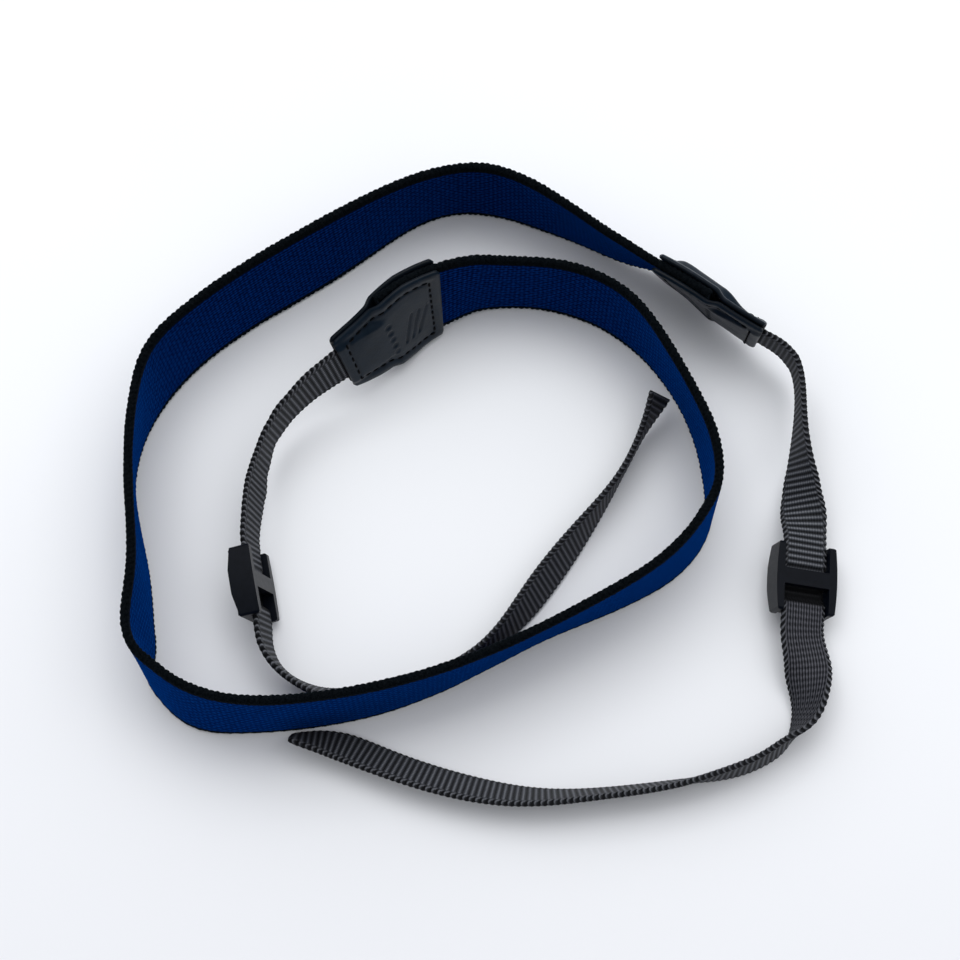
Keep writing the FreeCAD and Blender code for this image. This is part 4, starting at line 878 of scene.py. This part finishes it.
def add_webbing(end):
    """four lengths from the patch to the tip"""
    label, sign, buckle = end.label, end.sign, end.buckle
    strap, glide, tail = label + "_strap", label + "_buckle_body", label + "_tail"
    cuts = [end.wide + sign * ROOT_START, rib_groove(buckle - sign * 19.0),
            rib_groove(buckle), rib_groove(buckle + sign * 19.0), end.tip]
    # letter, parts it blends from and to, where the blend starts and ends, piece it replaces
    lengths = (
        ("a", "neck", strap, end.mouth - sign * 0.2, end.mouth + sign * 9.0, "root"),
        ("b", strap, glide, cuts[1] + sign * 0.5, buckle - sign * 8.6, None),
        ("c", glide, strap, buckle + sign * 8.6, cuts[3] - sign * 0.5, "upper"),
        ("d", strap, tail, end.flex - sign * 5.0, end.flex + sign * 5.0, "tail"),
    )
    for i, (letter, first, second, start, stop, replaced) in enumerate(lengths):
        piece = webbing(label + "_webbing_" + letter, cuts[i], cuts[i + 1], end)
        dress(piece, WEB)
        centre_point(start)
        centre_point(stop)
        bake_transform(piece)
        if replaced:
            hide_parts(label + "_webbing_" + replaced)


def finish_buckle(ob):
    dress(ob, PLASTIC)
    bevel = ob.modifiers.new("edges", "BEVEL")
    bevel.width = 0.00032
    bevel.segments = 3
    bevel.limit_method = "ANGLE"
    bevel.angle_limit = math.radians(35)
    bevel.harden_normals = False
    ob.data.polygons.foreach_set("use_smooth", [True] * len(ob.data.polygons))
    normals = ob.modifiers.new("normals", "WEIGHTED_NORMAL")
    normals.keep_sharp = True


band = dress(neck_band(), BAND)
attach(band, "neck")
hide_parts("neck_webbing")

for end in (LEFT, RIGHT):
    for face in FACES:
        piece = dress(leather(end, face), LEATHER)
        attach(piece, "neck")
        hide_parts(end.label + "_patch_" + face)
    piece = dress(threads(end), THREAD)
    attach(piece, "neck")
    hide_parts(end.label + "_patch_stitching", end.label + "_box_stitch")
    add_webbing(end)
    finish_buckle(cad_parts[end.label + "_buckle"])


# ---------------------------------------------------------------- table, light and camera
def add_table():
    half, points, z = 1600.0, 24, -0.02
    x, y = np.meshgrid(*[np.linspace(-half, half, points)] * 2, indexing="ij")
    verts = np.stack([x, y, 0 * x + z], -1).reshape(-1, 3)
    quads = grid_quads(np.arange(points * points).reshape(points, points))
    table = mesh("table_top", verts, quads.tolist())
    table.data.materials.append(TABLE)


def light_world():
    """a pale room, brighter above and towards +y, that is dim in reflections"""
    world = bpy.data.worlds.new("room")
    bpy.context.scene.world = world
    world.use_nodes = True
    tree = world.node_tree
    background = tree.nodes["Background"]
    _, y, z = add_node(tree, "TexCoord", out="Generated").split()
    glow = y * 0.45 + z * 0.55 + 0.25
    colour = glow.ramp((0.15, (0.24, 0.245, 0.255)), (0.75, (0.960, 0.972, 1.0)))
    set_input(tree, background.inputs[0], colour)
    glossy = add_node(tree, "LightPath", out="Is Glossy Ray")
    set_input(tree, background.inputs[1], 1.06 - glossy * 0.97)


def area(name, place, target, size, power, shine, colour):
    """an area light aimed at target; shine is its strength as seen in reflections"""
    data = bpy.data.lights.new(name, "AREA")
    data.shape = "RECTANGLE"
    data.size, data.size_y = size
    data.energy = power
    data.color = colour
    data.use_nodes = True
    tree = data.node_tree
    glossy = add_node(tree, "LightPath", out="Is Glossy Ray")
    emission = next(node for node in tree.nodes if node.type == "EMISSION")
    set_input(tree, emission.inputs["Strength"], 1.0 - glossy * (1.0 - shine))
    ob = bpy.data.objects.new(name, data)
    bpy.context.scene.collection.objects.link(ob)
    ob.location = place
    ob.rotation_mode = "QUATERNION"
    aim = np.array(target, float) - np.array(place, float)
    ob.rotation_quaternion = Vector(aim).to_track_quat("-Z", "Y")


def add_camera():
    data = bpy.data.cameras.new("camera")
    data.lens, data.sensor_width, data.sensor_fit = 75.0, 36.0, "AUTO"
    data.clip_start, data.clip_end = 0.01, 20.0
    camera = bpy.data.objects.new("camera", data)
    bpy.context.scene.collection.objects.link(camera)
    camera.location = (0.000603, -0.148250, 0.417220)
    camera.rotation_mode = "XYZ"
    camera.rotation_euler = (math.radians(20.0), 0.0, 0.0)
    bpy.context.scene.camera = camera


add_table()
light_world()
area("window", place=(-0.12, 0.42, 1.05), target=(0, 0.02, 0), size=(0.95, 0.75),
     power=5.2, shine=0.28, colour=(0.98, 0.99, 1.0))
area("fill", place=(0.45, 0.10, 0.95), target=(0, 0, 0), size=(0.6, 0.6),
     power=1.3, shine=0.10, colour=(1.0, 0.995, 0.985))
add_camera()
bpy.context.scene.view_settings.view_transform = "Standard"
